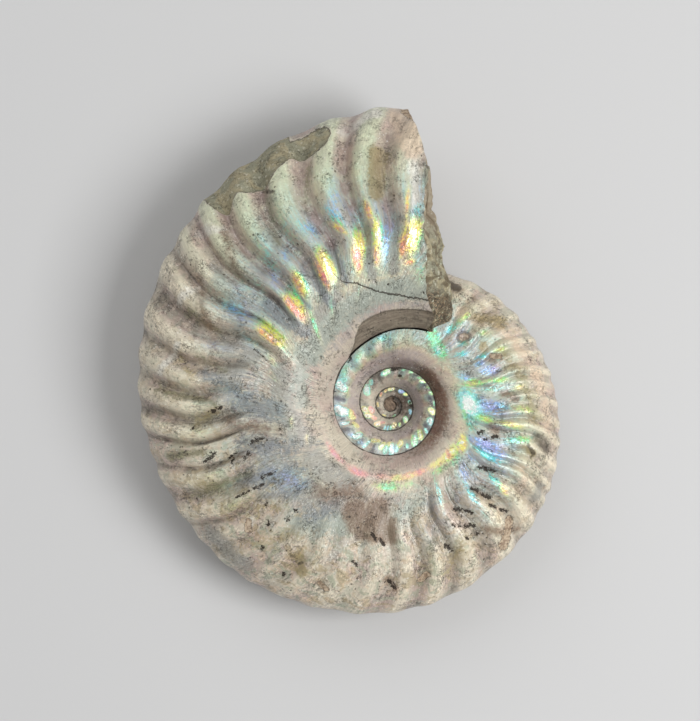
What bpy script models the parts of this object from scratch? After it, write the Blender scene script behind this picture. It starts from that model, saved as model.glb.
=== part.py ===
"""A fossil ammonite with an iridescent skin: one coiled solid that lies on its lower flank.

The shell is drawn in its own frame first. There Z is the coiling axis, Z = 0 is the plane that
halves the shell, and the shell grows clockwise as seen from above. The growth angle counts in
degrees: 360 is where the mouth meets the outer edge, 0 is one turn before it, and the inner
turns are negative. A flank is crossed by its flank fraction, 0 at the umbilical seam, where a
turn sits on the one before it, and 1 at the venter, the outer edge.
"""

import math

import bmesh
import bpy
import numpy as np
from mathutils import Matrix, Vector

MM = 0.001
TURN = 360.0

# Driving dimensions of the coil: the widest half thickness, and the direction of the mouth's
# outer edge, in degrees from X
HALF_WIDTH_TO_RADIUS = 0.255
UPWARD_ANGLE = 87.0

# Radius of the venter between ribs in millimetres, by growth angle: it about doubles each turn
VENTER_RADII = (
    (-1058.0, 2.01),
    (-698.0, 4.32),
    (-338.0, 9.29),
    (22.0, 19.90),
    (60.0, 21.55),
    (90.0, 23.15),
    (120.0, 24.90),
    (155.0, 27.10),
    (215.0, 31.00),
    (260.0, 33.95),
    (300.0, 36.90),
    (340.0, 39.75),
    (382.0, 42.55),
)

# Radius of the umbilical seam in millimetres, by growth angle: it flares towards the mouth
SEAM_RADII = (
    (-1100.0, 0.53),
    (-740.0, 1.14),
    (-440.0, 2.15),
    (-300.0, 2.84),
    (-170.0, 3.60),
    (-90.0, 4.30),
    (-30.0, 4.89),
    (30.0, 5.57),
    (90.0, 6.14),
    (170.0, 6.76),
    (240.0, 7.65),
    (300.0, 8.45),
    (330.0, 9.15),
    (360.0, 10.40),
    (382.0, 11.22),
)

# Shape of a cross-section: a sloping wall up from the seam, then a convex flank to the venter
SEAM_HEIGHT_TO_WIDTH = 0.47
WIDEST_FRACTION = 0.33
WIDEST_SECTION_STEP = 0.35
WALL_POWER = 2.6
FLANK_POWER = 2.3
KEEL_POWER = 1.85

# Ribs: growth angle of the crest on the outer flank, height from 0 to 1, and the flank
# fraction where the rib starts. The first and the last only end the row.
RIBS = (
    (16.0, 0.00, 0.50),
    (26.5, 0.60, 0.60),
    (36.8, 1.00, 0.24),
    (47.2, 1.00, 0.24),
    (52.0, 0.40, 0.60),
    (58.0, 0.90, 0.30),
    (63.7, 0.60, 0.50),
    (71.0, 1.00, 0.24),
    (76.2, 0.50, 0.55),
    (82.0, 0.70, 0.42),
    (89.5, 0.90, 0.28),
    (94.8, 1.00, 0.24),
    (103.0, 0.80, 0.50),
    (110.3, 0.85, 0.26),
    (114.8, 0.85, 0.26),
    (123.0, 0.90, 0.40),
    (134.5, 0.95, 0.30),
    (149.6, 1.00, 0.22),
    (161.0, 0.85, 0.32),
    (171.5, 0.75, 0.32),
    (182.5, 0.55, 0.35),
    (194.0, 0.45, 0.40),
    (203.0, 0.60, 0.40),
    (212.0, 0.50, 0.45),
    (220.0, 0.55, 0.45),
    (228.0, 0.55, 0.45),
    (235.3, 0.80, 0.40),
    (245.8, 0.90, 0.40),
    (252.0, 0.50, 0.65),
    (258.8, 1.00, 0.35),
    (266.7, 0.90, 0.45),
    (274.5, 0.75, 0.40),
    (283.0, 0.90, 0.35),
    (294.8, 1.00, 0.22),
    (302.2, 0.75, 0.50),
    (309.8, 1.00, 0.25),
    (318.6, 0.90, 0.28),
    (328.8, 0.95, 0.25),
    (340.6, 0.90, 0.30),
    (349.6, 0.95, 0.28),
    (360.0, 0.85, 0.28),
    (371.0, 0.00, 0.28),
)

# How a rib rises from where it starts, and the line it follows over the flank, in degrees of
# growth angle and in flank fractions
RIB_HEIGHT_TO_RADIUS = 0.020
RIB_FADE_IN = (-0.04, 0.22)
RIB_MID_FLANK = 0.45
RIB_MID_WIDTH = 0.13
RIB_MID_LEAN = 2.3
RIB_VENTER_START = 0.72
RIB_VENTER_LEAN = 4.5
RIB_VENTER_POWER = 1.5
RIB_INNER_END = 0.33
RIB_INNER_LEAN = 42.0
RIB_LINE_START = 0.10
VENTER_FADE = (0.85, 1.0)
VENTER_RIB_SHARE = 0.65

# Chips that bare the stone at the venter: growth angles, flank fraction they reach in to, depth
# in millimetres, and whether they go round to the lower flank
CHIPS = (
    (314.5, 336.0, 0.885, 0.55, True),
    (332.0, 345.0, 0.870, 0.50, False),
)
CHIP_EDGE_ANGLE = 2.0
CHIP_EDGE_FRACTION = 0.04
CHIP_VENTER_EDGE = (0.98, 1.0)

# Low bumps on the turns that show in the umbilicus, and where they rise and fall on the share
# of a turn that shows
BUMPS_PER_TURN = 26
BUMP_HEIGHT_TO_RADIUS = 0.010
BUMP_RISE = (0.35, 0.7)
BUMP_FALL = (0.8, 1.0)

# The broken mouth: how far its rim runs ahead of the line through the mouth's seam end, in
# degrees, on the upper flank and on the lower one, and how far the stone behind the rim runs
# ahead of the same line where it meets the turn before
FIRST_ANGLE = 22.0
MOUTH_ANGLE = FIRST_ANGLE + TURN
UPPER_RIM = ((0.0, 0.0), (0.05, 1.0), (0.14, -7.0), (0.25, -10.5), (0.36, -13.0),
             (0.55, -16.0), (0.66, -17.0), (0.80, -20.0), (0.90, -21.7), (1.0, -23.0))
LOWER_RIM = ((0.0, 0.0), (0.06, 3.0), (0.14, 1.0), (0.25, -5.0), (0.38, -10.0),
             (0.50, -13.0), (0.66, -17.0), (0.80, -20.0), (0.90, -21.7), (1.0, -23.0))
STONE_FOOT = ((0.38, 0.0), (0.44, 2.5), (0.50, 6.0), (0.58, 9.5), (0.65, 8.5), (0.72, 5.5),
              (0.80, 1.0), (0.90, -2.0), (1.0, -3.0))
MOUTH_BLEND = 70.0
FOOT_BLEND = 24.0
MOUTH_BULGE_ANGLE = 1.5
MOUTH_LAYERS = 3

# Mesh steps: three columns to a rib, and rows from the seam to the venter
COLUMNS_PER_RIB = 3
PLAIN_COLUMN = 4.2
BAND_ROWS = 3
BAND_SHARES = (0.0, 0.27, 0.6, 1.0)
OUTER_ROWS = 8
INNER_TURNS = 2
CENTRE_SHIFT = 0.35 * MM
CENTRE_SHIFT_TURN = 90.0
CENTRE_HEIGHT_TO_SEAM = 0.9

# How deep the lowest points are worn flat where the shell lies
WORN_DEPTH = 0.12 * MM

SHARP_ANGLE = 42.0
SHELL_COLOUR = (0.56, 0.51, 0.44, 1.0)
SHELL_ROUGHNESS = 0.38
SHELL_METALLIC = 0.15


def smooth_step(low, high, value):
    """0 below low, 1 above high, and a smooth rise between them."""
    share = np.clip((np.asarray(value, float) - low) / (high - low), 0.0, 1.0)
    return share * share * (3.0 - 2.0 * share)


def curve_through(points, value):
    """A smooth curve through (x, y) points, with slopes taken from each point's neighbours."""
    x, y = np.array(points, float).T
    slope = np.gradient(y, x)
    value = np.clip(value, x[0], x[-1])
    i = np.clip(np.searchsorted(x, value, side="right") - 1, 0, len(x) - 2)
    width = x[i + 1] - x[i]
    t = (value - x[i]) / width
    start = (1.0 + 2.0 * t) * (1.0 - t) ** 2 * y[i] + t * (1.0 - t) ** 2 * width * slope[i]
    end = t * t * (3.0 - 2.0 * t) * y[i + 1] + t * t * (t - 1.0) * width * slope[i + 1]
    return start + end


def spiral_radius(radii, angle):
    """Radius in metres on a spiral through (growth angle, millimetres) points."""
    logs = [(at, math.log(radius * MM)) for at, radius in radii]
    return np.exp(curve_through(logs, angle))


def venter_radius(angle):
    return spiral_radius(VENTER_RADII, angle)


def seam_radius(angle):
    return spiral_radius(SEAM_RADII, angle)


def half_width(angle):
    return HALF_WIDTH_TO_RADIUS * venter_radius(angle)


def covered_fraction(angle):
    """The flank fraction of a turn at which the next turn's seam lies on it."""
    inner = seam_radius(angle)
    return (seam_radius(angle + TURN) - inner) / (venter_radius(angle) - inner)


def section_height(fraction, seam_height, widest):
    """Height of the flank over the middle plane, before any rib."""
    rise = 1.0 - np.clip(1.0 - fraction / WIDEST_FRACTION, 0.0, 1.0) ** WALL_POWER
    wall = seam_height + (widest - seam_height) * rise
    outward = np.clip((fraction - WIDEST_FRACTION) / (1.0 - WIDEST_FRACTION), 0.0, 1.0)
    flank = widest * (1.0 - outward ** FLANK_POWER) ** (1.0 / KEEL_POWER)
    return np.where(fraction < WIDEST_FRACTION, wall, flank)


def seam_height(angle):
    """Height at which a turn's seam lies on the turn before."""
    before = np.asarray(angle, float) - TURN
    widest = half_width(before)
    own_seam = SEAM_HEIGHT_TO_WIDTH * widest
    return section_height(covered_fraction(before), own_seam, widest)


def fraction_at(step):
    """Flank fraction at a section step from 0 to 1, even steps being even along the curve."""
    quarter = np.clip((step - WIDEST_SECTION_STEP) / (1.0 - WIDEST_SECTION_STEP), 0.0, 1.0)
    outward = np.sin(quarter * math.pi / 2.0) ** (2.0 / FLANK_POWER)
    inner = WIDEST_FRACTION * step / WIDEST_SECTION_STEP
    outer = WIDEST_FRACTION + (1.0 - WIDEST_FRACTION) * outward
    return np.where(step < WIDEST_SECTION_STEP, inner, outer)


def step_at(fraction):
    """The section step that fraction_at turns into this flank fraction."""
    outward = np.clip((fraction - WIDEST_FRACTION) / (1.0 - WIDEST_FRACTION), 0.0, 1.0)
    quarter = np.arcsin(outward ** (FLANK_POWER / 2.0)) / (math.pi / 2.0)
    inner = WIDEST_SECTION_STEP * fraction / WIDEST_FRACTION
    outer = WIDEST_SECTION_STEP + (1.0 - WIDEST_SECTION_STEP) * quarter
    return np.where(fraction < WIDEST_FRACTION, inner, outer)


def section_point(angle, step):
    """Radius and height on the smooth cross-section at a growth angle and section step."""
    fraction = fraction_at(step)
    inner = seam_radius(angle)
    radius = inner + (venter_radius(angle) - inner) * fraction
    return radius, section_height(fraction, seam_height(angle), half_width(angle))


def section_normal(angle, step):
    """Outward direction of the smooth cross-section, as its radius and height parts."""
    reach = 0.02
    r0, z0 = section_point(angle, np.clip(step - reach, 0.0, 1.0))
    r1, z1 = section_point(angle, np.clip(step + reach, 0.0, 1.0))
    z1 = np.where(step + reach > 1.0, -z0, z1)
    r1 = np.where(step + reach > 1.0, r0, r1)
    length = np.hypot(r1 - r0, z1 - z0)
    return -(z1 - z0) / length, (r1 - r0) / length


def rib_lean(fraction):
    """Degrees by which a rib's line runs ahead of its crest on the outer flank."""
    middle = RIB_MID_LEAN * np.exp(-(((fraction - RIB_MID_FLANK) / RIB_MID_WIDTH) ** 2))
    outward = np.clip((fraction - RIB_VENTER_START) / (1.0 - RIB_VENTER_START), 0.0, 1.0)
    inward = np.clip(RIB_INNER_END - fraction, 0.0, 1.0)
    return middle + RIB_VENTER_LEAN * outward**RIB_VENTER_POWER - RIB_INNER_LEAN * inward


def rib_relief(angle, fraction):
    """Height of the ribs over the smooth flank of the last turn."""
    at, height, start = np.array(RIBS).T
    along = angle - rib_lean(fraction)
    i = np.clip(np.searchsorted(at, along, side="right") - 1, 0, len(at) - 2)
    share = (along - at[i]) / (at[i + 1] - at[i])
    k = np.where(share < 0.5, i, i + 1)
    crest = np.cos(np.clip(share, 0.0, 1.0) * math.pi) ** 2
    fade_in = smooth_step(start[k] + RIB_FADE_IN[0], start[k] + RIB_FADE_IN[1], fraction)
    fade_in = fade_in * smooth_step(0.0, RIB_LINE_START, fraction)
    fade_out = 1.0 - (1.0 - VENTER_RIB_SHARE) * smooth_step(*VENTER_FADE, fraction)
    return RIB_HEIGHT_TO_RADIUS * venter_radius(angle) * height[k] * crest * fade_in * fade_out


def chip_depth(angle, fraction, side):
    """Depth of the chips under the smooth flank of the last turn."""
    depth = 0.0
    for start, end, inner, deepest, both_flanks in CHIPS:
        along = smooth_step(start, start + CHIP_EDGE_ANGLE, angle)
        along = along * (1.0 - smooth_step(end - CHIP_EDGE_ANGLE, end, angle))
        across = smooth_step(inner, inner + CHIP_EDGE_FRACTION, fraction)
        if not both_flanks:
            across = across * (1.0 - smooth_step(*CHIP_VENTER_EDGE, fraction)) * (side > 0)
        depth = np.maximum(depth, deepest * MM * along * across)
    return depth


def bump_relief(angle, share):
    """Height of the bumps on an inner turn, by the share of its showing band."""
    wave = np.cos(np.radians(angle) * BUMPS_PER_TURN / 2.0) ** 2
    band = smooth_step(*BUMP_RISE, share) * (1.0 - smooth_step(*BUMP_FALL, share))
    return BUMP_HEIGHT_TO_RADIUS * venter_radius(angle) * wave * band


def place(angle, radius, height):
    """Turn a growth angle, radius and height into a point of the shell's own frame."""
    turned = np.radians(UPWARD_ANGLE - angle)
    return np.stack([radius * np.cos(turned), radius * np.sin(turned), height], axis=-1)


def column_angles():
    """Growth angles of the mesh columns of the last turn: on each crest and between crests."""
    crests = [at for at, height, _ in RIBS if height > 0.0]
    ends = ((FIRST_ANGLE, crests[0]), (crests[-1], MOUTH_ANGLE))
    lead_in, lead_out = (np.linspace(a, b, round((b - a) / PLAIN_COLUMN) + 1) for a, b in ends)
    between = [
        a + (b - a) * k / COLUMNS_PER_RIB
        for a, b in zip(crests, crests[1:])
        for k in range(COLUMNS_PER_RIB)
    ]
    return np.concatenate([lead_in[:-1], between, lead_out])


def row_steps():
    """Section steps of the mesh rows of the last turn, from the seam to the venter."""
    junction = float(covered_fraction(FIRST_ANGLE))
    band = step_at(junction * np.array(BAND_SHARES))
    outer = np.linspace(band[-1], 1.0, OUTER_ROWS + 1)[1:]
    return np.concatenate([band, outer])


def rim_blend(angle):
    """1 at the mouth and 0 well behind it."""
    return smooth_step(MOUTH_ANGLE - MOUTH_BLEND, MOUTH_ANGLE, angle)


def foot_blend(angle):
    """1 at the last turn's first column and 0 well ahead of it."""
    return 1.0 - smooth_step(FIRST_ANGLE, FIRST_ANGLE + FOOT_BLEND, angle)


def last_turn_point(angle, step, side):
    """A point on the last turn, with its column bent along the ribs, the mouth and the foot."""
    fraction = fraction_at(step)
    rim = UPPER_RIM if side > 0 else LOWER_RIM
    at_mouth = rim_blend(angle)
    at_foot = foot_blend(angle)
    along_rib = rib_lean(np.maximum(fraction, RIB_INNER_END))
    along_rib = along_rib * smooth_step(RIB_LINE_START, RIB_INNER_END, fraction)
    bent = angle + (1.0 - at_mouth) * (1.0 - at_foot) * along_rib
    bent = bent + at_mouth * curve_through(rim, fraction)
    bent = bent + at_foot * curve_through(STONE_FOOT, fraction) * (fraction > STONE_FOOT[0][0])
    radius, height = section_point(bent, step)
    out_r, out_z = section_normal(bent, step)
    relief = rib_relief(bent, fraction) - chip_depth(bent, fraction, side)
    return place(bent, radius + relief * out_r, side * (height + relief * out_z))


def inner_turn_point(angle, share, side):
    """A point on a turn that shows only between its own seam and the next turn's seam."""
    fraction = covered_fraction(angle) * share
    step = step_at(fraction)
    radius, height = section_point(angle, step)
    relief = bump_relief(angle, share)
    return place(angle, radius, side * (height + relief))


def mesh_point(angles, steps, key):
    """The place of a mesh point by its side, turn, column and row."""
    side, turn, column, row = key
    if turn == 0:
        return last_turn_point(angles[column], steps[row], side)
    return inner_turn_point(angles[column] - TURN * turn, BAND_SHARES[row], side)


def shell_geometry():
    """Points and faces of the whole shell, in its own frame."""
    angles = column_angles()
    steps = row_steps()
    last_column = len(angles) - 1
    last_row = len(steps) - 1
    points = []
    faces = []
    numbers = {}

    def key_of(side, turn, column, row):
        """The one name of a mesh point that turns, columns or sides share."""
        if turn > 0 and column == last_column:
            return key_of(side, turn - 1, 0, row)
        if turn > 0 and row == BAND_ROWS:
            return key_of(side, turn - 1, column, 0)
        if turn == 0 and column == last_column and row == 0:
            return side, 0, 0, BAND_ROWS
        if turn == 0 and row == last_row:
            return 0, 0, column, row
        return side, turn, column, row

    def number(*place_in_grid):
        key = key_of(*place_in_grid)
        if key not in numbers:
            numbers[key] = len(points)
            points.append(mesh_point(angles, steps, key))
        return numbers[key]

    for side in (1, -1):
        for turn in range(INNER_TURNS, -1, -1):
            rows = BAND_ROWS if turn else last_row
            for column in range(last_column):
                for row in range(rows):
                    near = number(side, turn, column, row), number(side, turn, column + 1, row)
                    far = (
                        number(side, turn, column + 1, row + 1),
                        number(side, turn, column, row + 1),
                    )
                    add_face(faces, near + far)
        ring = [number(side, INNER_TURNS, column, 0) for column in range(last_column)]
        ring += [number(side, INNER_TURNS, 0, row) for row in range(BAND_ROWS, 0, -1)]
        points.append(centre_point(side))
        for a, b in zip(ring, ring[1:] + ring[:1]):
            add_face(faces, (len(points) - 1, a, b))

    rim = [number(1, 0, last_column, row) for row in range(last_row + 1)]
    rim += [number(-1, 0, last_column, row) for row in range(last_row - 1, -1, -1)]
    foot = [number(1, 0, 0, row) for row in range(BAND_ROWS, last_row + 1)]
    foot += [number(-1, 0, 0, row) for row in range(last_row - 1, BAND_ROWS - 1, -1)]
    add_mouth(points, faces, rim, foot)
    return points, faces


def add_face(faces, corners):
    """Keep a face with its repeated corners dropped, if three or more are left."""
    kept = [n for i, n in enumerate(corners) if n != corners[i - 1]]
    if len(kept) > 2:
        faces.append(kept)


def centre_point(side):
    """The middle of the umbilicus, set a little off the line of the innermost column."""
    start = FIRST_ANGLE - TURN * INNER_TURNS
    height = CENTRE_HEIGHT_TO_SEAM * float(seam_height(start))
    return place(start - CENTRE_SHIFT_TURN, CENTRE_SHIFT, side * height)


def add_mouth(points, faces, rim, foot):
    """Close the broken mouth with the stone between its rim and the turn before."""
    inner = [foot[round(i * (len(foot) - 1) / (len(rim) - 1))] for i in range(len(rim))]
    layers = [rim]
    for k in range(1, MOUTH_LAYERS):
        share = k / MOUTH_LAYERS
        bulge = math.radians(MOUTH_BULGE_ANGLE) * 4.0 * share * (1.0 - share)
        ahead = Matrix.Rotation(-bulge, 3, "Z")
        layer = []
        for a, b in zip(rim[1:-1], inner[1:-1]):
            layer.append(len(points))
            between = Vector((1.0 - share) * points[a] + share * points[b])
            points.append(np.array(ahead @ between))
        layers.append([rim[0], *layer, rim[-1]])
    layers.append(inner)
    for near, far in zip(layers, layers[1:]):
        for i in range(len(rim) - 1):
            add_face(faces, (near[i], near[i + 1], far[i + 1], far[i]))


def balance_point(mesh):
    """Centre of the volume inside a closed mesh of triangles."""
    volume = 0.0
    moment = Vector()
    for face in mesh.faces:
        a, b, c = (vertex.co for vertex in face.verts)
        piece = a.dot(b.cross(c)) / 6.0
        volume += piece
        moment += piece * (a + b + c) / 4.0
    return moment / volume


def resting_turn(mesh):
    """The turn that brings the shell's lower flank down onto the three points it lies on."""
    middle = balance_point(mesh)
    hull = bmesh.new()
    for vertex in mesh.verts:
        hull.verts.new(vertex.co)
    bmesh.ops.convex_hull(hull, input=hull.verts)
    down = Vector((0.0, 0.0, -1.0))
    best = -down
    for face in hull.faces:
        face.normal_update()
        corners = [vertex.co for vertex in face.verts]
        inside = all(
            (b - a).cross(middle - a).dot(face.normal) > 0.0
            for a, b in zip(corners, corners[1:] + corners[:1])
        )
        if inside and face.normal.dot(down) > best.dot(down):
            best = face.normal.copy()
    hull.free()
    return best.rotation_difference(down).to_matrix()


def wear_flat(mesh, turn):
    """Wear the lowest points down to the one plane that the shell lies on."""
    down = turn.transposed() @ Vector((0.0, 0.0, -1.0))
    lowest = max(vertex.co.dot(down) for vertex in mesh.verts)
    for vertex in mesh.verts:
        over_floor = lowest - vertex.co.dot(down)
        if over_floor < WORN_DEPTH:
            vertex.co += down * (over_floor - WORN_DEPTH)


def shell_material():
    """Pale weathered nacre."""
    material = bpy.data.materials.new("nacre")
    material.use_nodes = True
    shader = material.node_tree.nodes["Principled BSDF"]
    shader.inputs["Base Color"].default_value = SHELL_COLOUR
    shader.inputs["Roughness"].default_value = SHELL_ROUGHNESS
    shader.inputs["Metallic"].default_value = SHELL_METALLIC
    return material


def build_ammonite():
    """Model the shell, lay it down and centre it over the origin."""
    points, faces = shell_geometry()
    solid = bmesh.new()
    vertices = [solid.verts.new(point) for point in points]
    for corners in faces:
        solid.faces.new([vertices[n] for n in corners])
    bmesh.ops.triangulate(solid, faces=solid.faces)
    bmesh.ops.recalc_face_normals(solid, faces=solid.faces)
    turn = resting_turn(solid)
    wear_flat(solid, turn)
    places = np.array([turn @ vertex.co for vertex in solid.verts])
    low, high = places.min(axis=0), places.max(axis=0)

    mesh = bpy.data.meshes.new("ammonite")
    solid.to_mesh(mesh)
    solid.free()
    mesh.shade_smooth()
    mesh.set_sharp_from_angle(angle=math.radians(SHARP_ANGLE))
    mesh.materials.append(shell_material())
    ammonite = bpy.data.objects.new("ammonite", mesh)
    ammonite.rotation_euler = turn.to_euler()
    ammonite.location = (-(low[0] + high[0]) / 2.0, -(low[1] + high[1]) / 2.0, -low[2])
    bpy.context.scene.collection.objects.link(ammonite)


for leftover in list(bpy.data.objects):
    bpy.data.objects.remove(leftover)
build_ammonite()
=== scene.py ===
"""Looks of the fossil ammonite: the nacre of its turns, the stone in its broken mouth, and the
floor, light and camera.

The shell is worked out in its own frame, in millimetres: Z is the coiling axis, Z = 0 is the
plane that halves the shell, and it grows clockwise as seen from above. The growth angle counts
in degrees: 360 is where the mouth meets the outer edge and 0 is one turn before it. A flank is
crossed by its flank fraction, 0 at the umbilical seam and 1 at the venter, the outer edge.
"""

import functools
import itertools
import math

import bmesh
import bpy
import numpy as np
from mathutils import Matrix, Vector


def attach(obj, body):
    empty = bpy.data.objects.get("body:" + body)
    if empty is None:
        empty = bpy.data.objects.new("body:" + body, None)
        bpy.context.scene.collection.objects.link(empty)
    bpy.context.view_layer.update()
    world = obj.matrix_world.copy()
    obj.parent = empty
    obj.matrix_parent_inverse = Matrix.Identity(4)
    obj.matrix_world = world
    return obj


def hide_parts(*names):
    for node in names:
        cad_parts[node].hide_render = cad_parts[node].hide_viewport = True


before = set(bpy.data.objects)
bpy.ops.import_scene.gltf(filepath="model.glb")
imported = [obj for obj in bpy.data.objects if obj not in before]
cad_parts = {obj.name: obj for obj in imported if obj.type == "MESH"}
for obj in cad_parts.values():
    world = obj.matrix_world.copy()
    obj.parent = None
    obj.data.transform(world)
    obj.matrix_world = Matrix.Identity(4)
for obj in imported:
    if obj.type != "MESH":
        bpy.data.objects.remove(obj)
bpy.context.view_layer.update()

MM = 0.001
TURN = 360

# The coil, as in the solid but with one more turn inside: half thickness, direction of the
# mouth's outer edge, and radii of the venter and of the umbilical seam in millimetres by growth
# angle
HALF_WIDTH_TO_RADIUS = 0.255
UPWARD_ANGLE = 87
VENTER_RADII = (
    (-1418, 0.93), (-1058, 2.01), (-698, 4.32), (-338, 9.29), (22, 19.9), (60, 21.55), (90, 23.15),
    (120, 24.9), (155, 27.1), (215, 31), (260, 33.95), (300, 36.9), (340, 39.75), (382, 42.55),
)
SEAM_RADII = (
    (-1460, 0.25), (-1100, 0.53), (-740, 1.14), (-440, 2.15), (-300, 2.84), (-170, 3.6),
    (-90, 4.3), (-30, 4.89), (30, 5.57), (90, 6.14), (170, 6.76), (240, 7.65), (300, 8.45),
    (330, 9.15), (360, 10.4), (382, 11.22),
)

# Shape of a cross-section, as in the solid
SEAM_HEIGHT_TO_WIDTH = 0.47
WIDEST_FRACTION = 0.33
WIDEST_SECTION_STEP = 0.35
WALL_POWER = 2.6
FLANK_POWER = 2.3
KEEL_POWER = 1.85
# How much longer the curved flank is than the straight way from the seam to the venter
FLANK_CURVE = 1.12
# Section steps to each side of a point from which its outward direction is taken
NORMAL_REACH = 0.02

# Ribs, as in the solid: growth angle of the crest on the outer flank, height from 0 to 1, and
# the flank fraction where the rib starts
RIBS = (
    (16, 0, 0.5), (26.5, 0.6, 0.6), (36.8, 1, 0.24), (47.2, 1, 0.24), (52, 0.4, 0.6),
    (58, 0.9, 0.3), (63.7, 0.6, 0.5), (71, 1, 0.24), (76.2, 0.5, 0.55), (82, 0.7, 0.42),
    (89.5, 0.9, 0.28), (94.8, 1, 0.24), (103, 0.8, 0.5), (110.3, 0.85, 0.26), (114.8, 0.85, 0.26),
    (123, 0.9, 0.4), (134.5, 0.95, 0.3), (149.6, 1, 0.22), (161, 0.85, 0.32), (171.5, 0.75, 0.32),
    (182.5, 0.55, 0.35), (194, 0.45, 0.4), (203, 0.6, 0.4), (212, 0.5, 0.45), (220, 0.55, 0.45),
    (228, 0.55, 0.45), (235.3, 0.8, 0.4), (245.8, 0.9, 0.4), (252, 0.5, 0.65), (258.8, 1, 0.35),
    (266.7, 0.9, 0.45), (274.5, 0.75, 0.4), (283, 0.9, 0.35), (294.8, 1, 0.22), (302.2, 0.75, 0.5),
    (309.8, 1, 0.25), (318.6, 0.9, 0.28), (328.8, 0.95, 0.25), (340.6, 0.9, 0.3),
    (349.6, 0.95, 0.28), (360, 0.85, 0.28), (371, 0, 0.28),
)
RIB_HEIGHT_TO_RADIUS = 0.020
RIB_FADE_IN = (-0.04, 0.22)
RIB_MID_FLANK = 0.45
RIB_MID_WIDTH = 0.13
RIB_MID_LEAN = 2.3
RIB_VENTER_START = 0.72
RIB_VENTER_LEAN = 4.5
RIB_VENTER_POWER = 1.5
RIB_INNER_END = 0.33
RIB_INNER_LEAN = 42
RIB_LINE_START = 0.10
VENTER_FADE = (0.85, 1)
VENTER_RIB_SHARE = 0.65
# Depth of the valleys between the ribs, as a share of the ribs' height, by growth angle; it also
# sets the strength of the painted shade and dirt in the valleys
GROOVE_BY_ANGLE = ((20, 0.35), (95, 0.4), (130, 0.75), (200, 1), (240, 1.2), (382, 1.2))

# Low bumps on the turns that show in the umbilicus, fewer and higher than in the solid
BUMPS_PER_TURN = 18
BUMP_HEIGHT_TO_RADIUS = 0.022
BUMP_RISE = (0.30, 0.62)
BUMP_FALL = (0.80, 1)
# Growth angles over which the inner turns take on the look of the last turn
JOIN = (-15, 22)

# The broken mouth: degrees by which its rim on each flank, and the foot of its stone on the turn
# before, run ahead of a straight line, by flank fraction, the angles over which the columns of
# points bend to meet them, and how far its face bulges. All is as in the solid, except that the
# outer part of the rim, from a fraction of 0.55 on, is up to 2 degrees further ahead
FIRST_ANGLE = 22
MOUTH_ANGLE = FIRST_ANGLE + TURN
UPPER_RIM = (
    (0, 0), (0.05, 1), (0.14, -7), (0.25, -10.5), (0.36, -13), (0.55, -16), (0.66, -16),
    (0.775, -17.3), (0.9, -20.2), (1, -21.7),
)
LOWER_RIM = (
    (0, 0), (0.06, 3), (0.14, 1), (0.25, -5), (0.38, -10), (0.5, -13), (0.66, -17), (0.8, -20),
    (0.9, -21.3), (1, -21.7),
)
STONE_FOOT = (
    (0.38, 0), (0.44, 2.5), (0.5, 6), (0.58, 9.5), (0.65, 8.5), (0.72, 5.5), (0.8, 1), (0.9, -2),
    (1, -3),
)
MOUTH_BLEND = 70
FOOT_BLEND = 24
MOUTH_BULGE_ANGLE = 1.5
# The rim's raggedness in degrees: its waves across the flank, where it sets in and where all but
# a fifth of it goes, and how sharply it ends behind the rim
RIM_RAGGEDNESS = 0.55
RIM_WAVES = (71, 37)
RIM_RAGGED_FROM = (0.05, 0.12)
RIM_CALM_FROM = (0.70, 0.85)
RIM_CALM_SHARE = 0.8
RIM_SHARPNESS = 8
# The lumps of the mouth's stone keep off its rim and its foot by shares of the way from one to
# the other, and further off the rim at large radii. There the stone is also sunk, by millimetres,
# and paler, and at small radii it is dark
SOUND_EDGE = 0.08
SOUND_EDGE_OUTSIDE = 0.22
SOUND_EDGE_RADII = (24, 30)
SOUND_FOOT = 0.92
STONE_SINK = 0.9
HIGH_STONE_RADII = (22, 28)
LOW_STONE_RADII = (19, 15.5)

# How the shell lies: the direction of its coiling axis and the place of the coil's centre
COIL_AXIS = Vector((0.0022, -0.08133, 0.99668))
COIL_CENTRE = Vector((5.80, -6.11, 9.02))
LYING = Vector((0, 0, 1)).rotation_difference(COIL_AXIS).to_matrix()

# Unevenness of the surfaces: height and size of the bumps in millimetres, and the noise's seed
SKIN_BUMPS = ((0.12, 7, 6), (0.06, 2.2, 5), (0.035, 0.9, 7))
CHIP_BUMPS = ((0.12, 1.1, 8),)
STONE_BUMPS = ((0.65, 3.4, 21), (0.45, 1.3, 22), (0.20, 0.5, 23))
LOW_STONE_BUMPS = ((1.5, 2, 24),)
CENTRE_BUMPS = ((0.05, 0.4, 31),)
NOISE_VALUES = 4093
NOISE_PRIMES = np.array((73856093, 19349663, 83492791))

# Chips that bare the stone at the venter: the line they reach in to, as growth angle and flank
# fraction, where the chip that goes round to the lower flank ends, where the other one ends short
# of the venter, the radius of their corners and their depth in millimetres, their edge, and where
# and by what share they are shallower at the venter
CHIP_LINE = (
    (314.6, 0.975), (315.3, 0.925), (316.4, 0.89), (318.2, 0.89), (321.2, 0.902), (323.2, 0.88),
    (324.7, 0.878), (327.3, 0.855), (330.6, 0.876), (333.3, 0.895), (335, 0.906), (336.6, 0.89),
    (339.2, 0.876), (343, 0.892), (344.5, 0.925),
)
ROUND_CHIP_END = 336
CHIP_OUTER_EDGE = 0.975
CHIP_CORNER = 1.6
CHIP_DEPTH = 0.55
CHIP_EDGE = (-0.05, 0.45)
CHIP_VENTER = (0.86, 0.98)
CHIP_VENTER_SHARE = 0.9

# A crack across the flank near the mouth, as growth angle and flank fraction, its width in
# millimetres, and the growth angle from which it is that wide
CRACK_LINE = (
    (329, 0.43), (332, 0.375), (335, 0.3), (340, 0.262), (345, 0.222), (350, 0.187), (355, 0.166),
    (360, 0.152), (365, 0.14), (372, 0.135), (378, 0.133),
)
CRACK_WIDTH = 0.16
CRACK_FULL_ANGLE = 338

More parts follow.
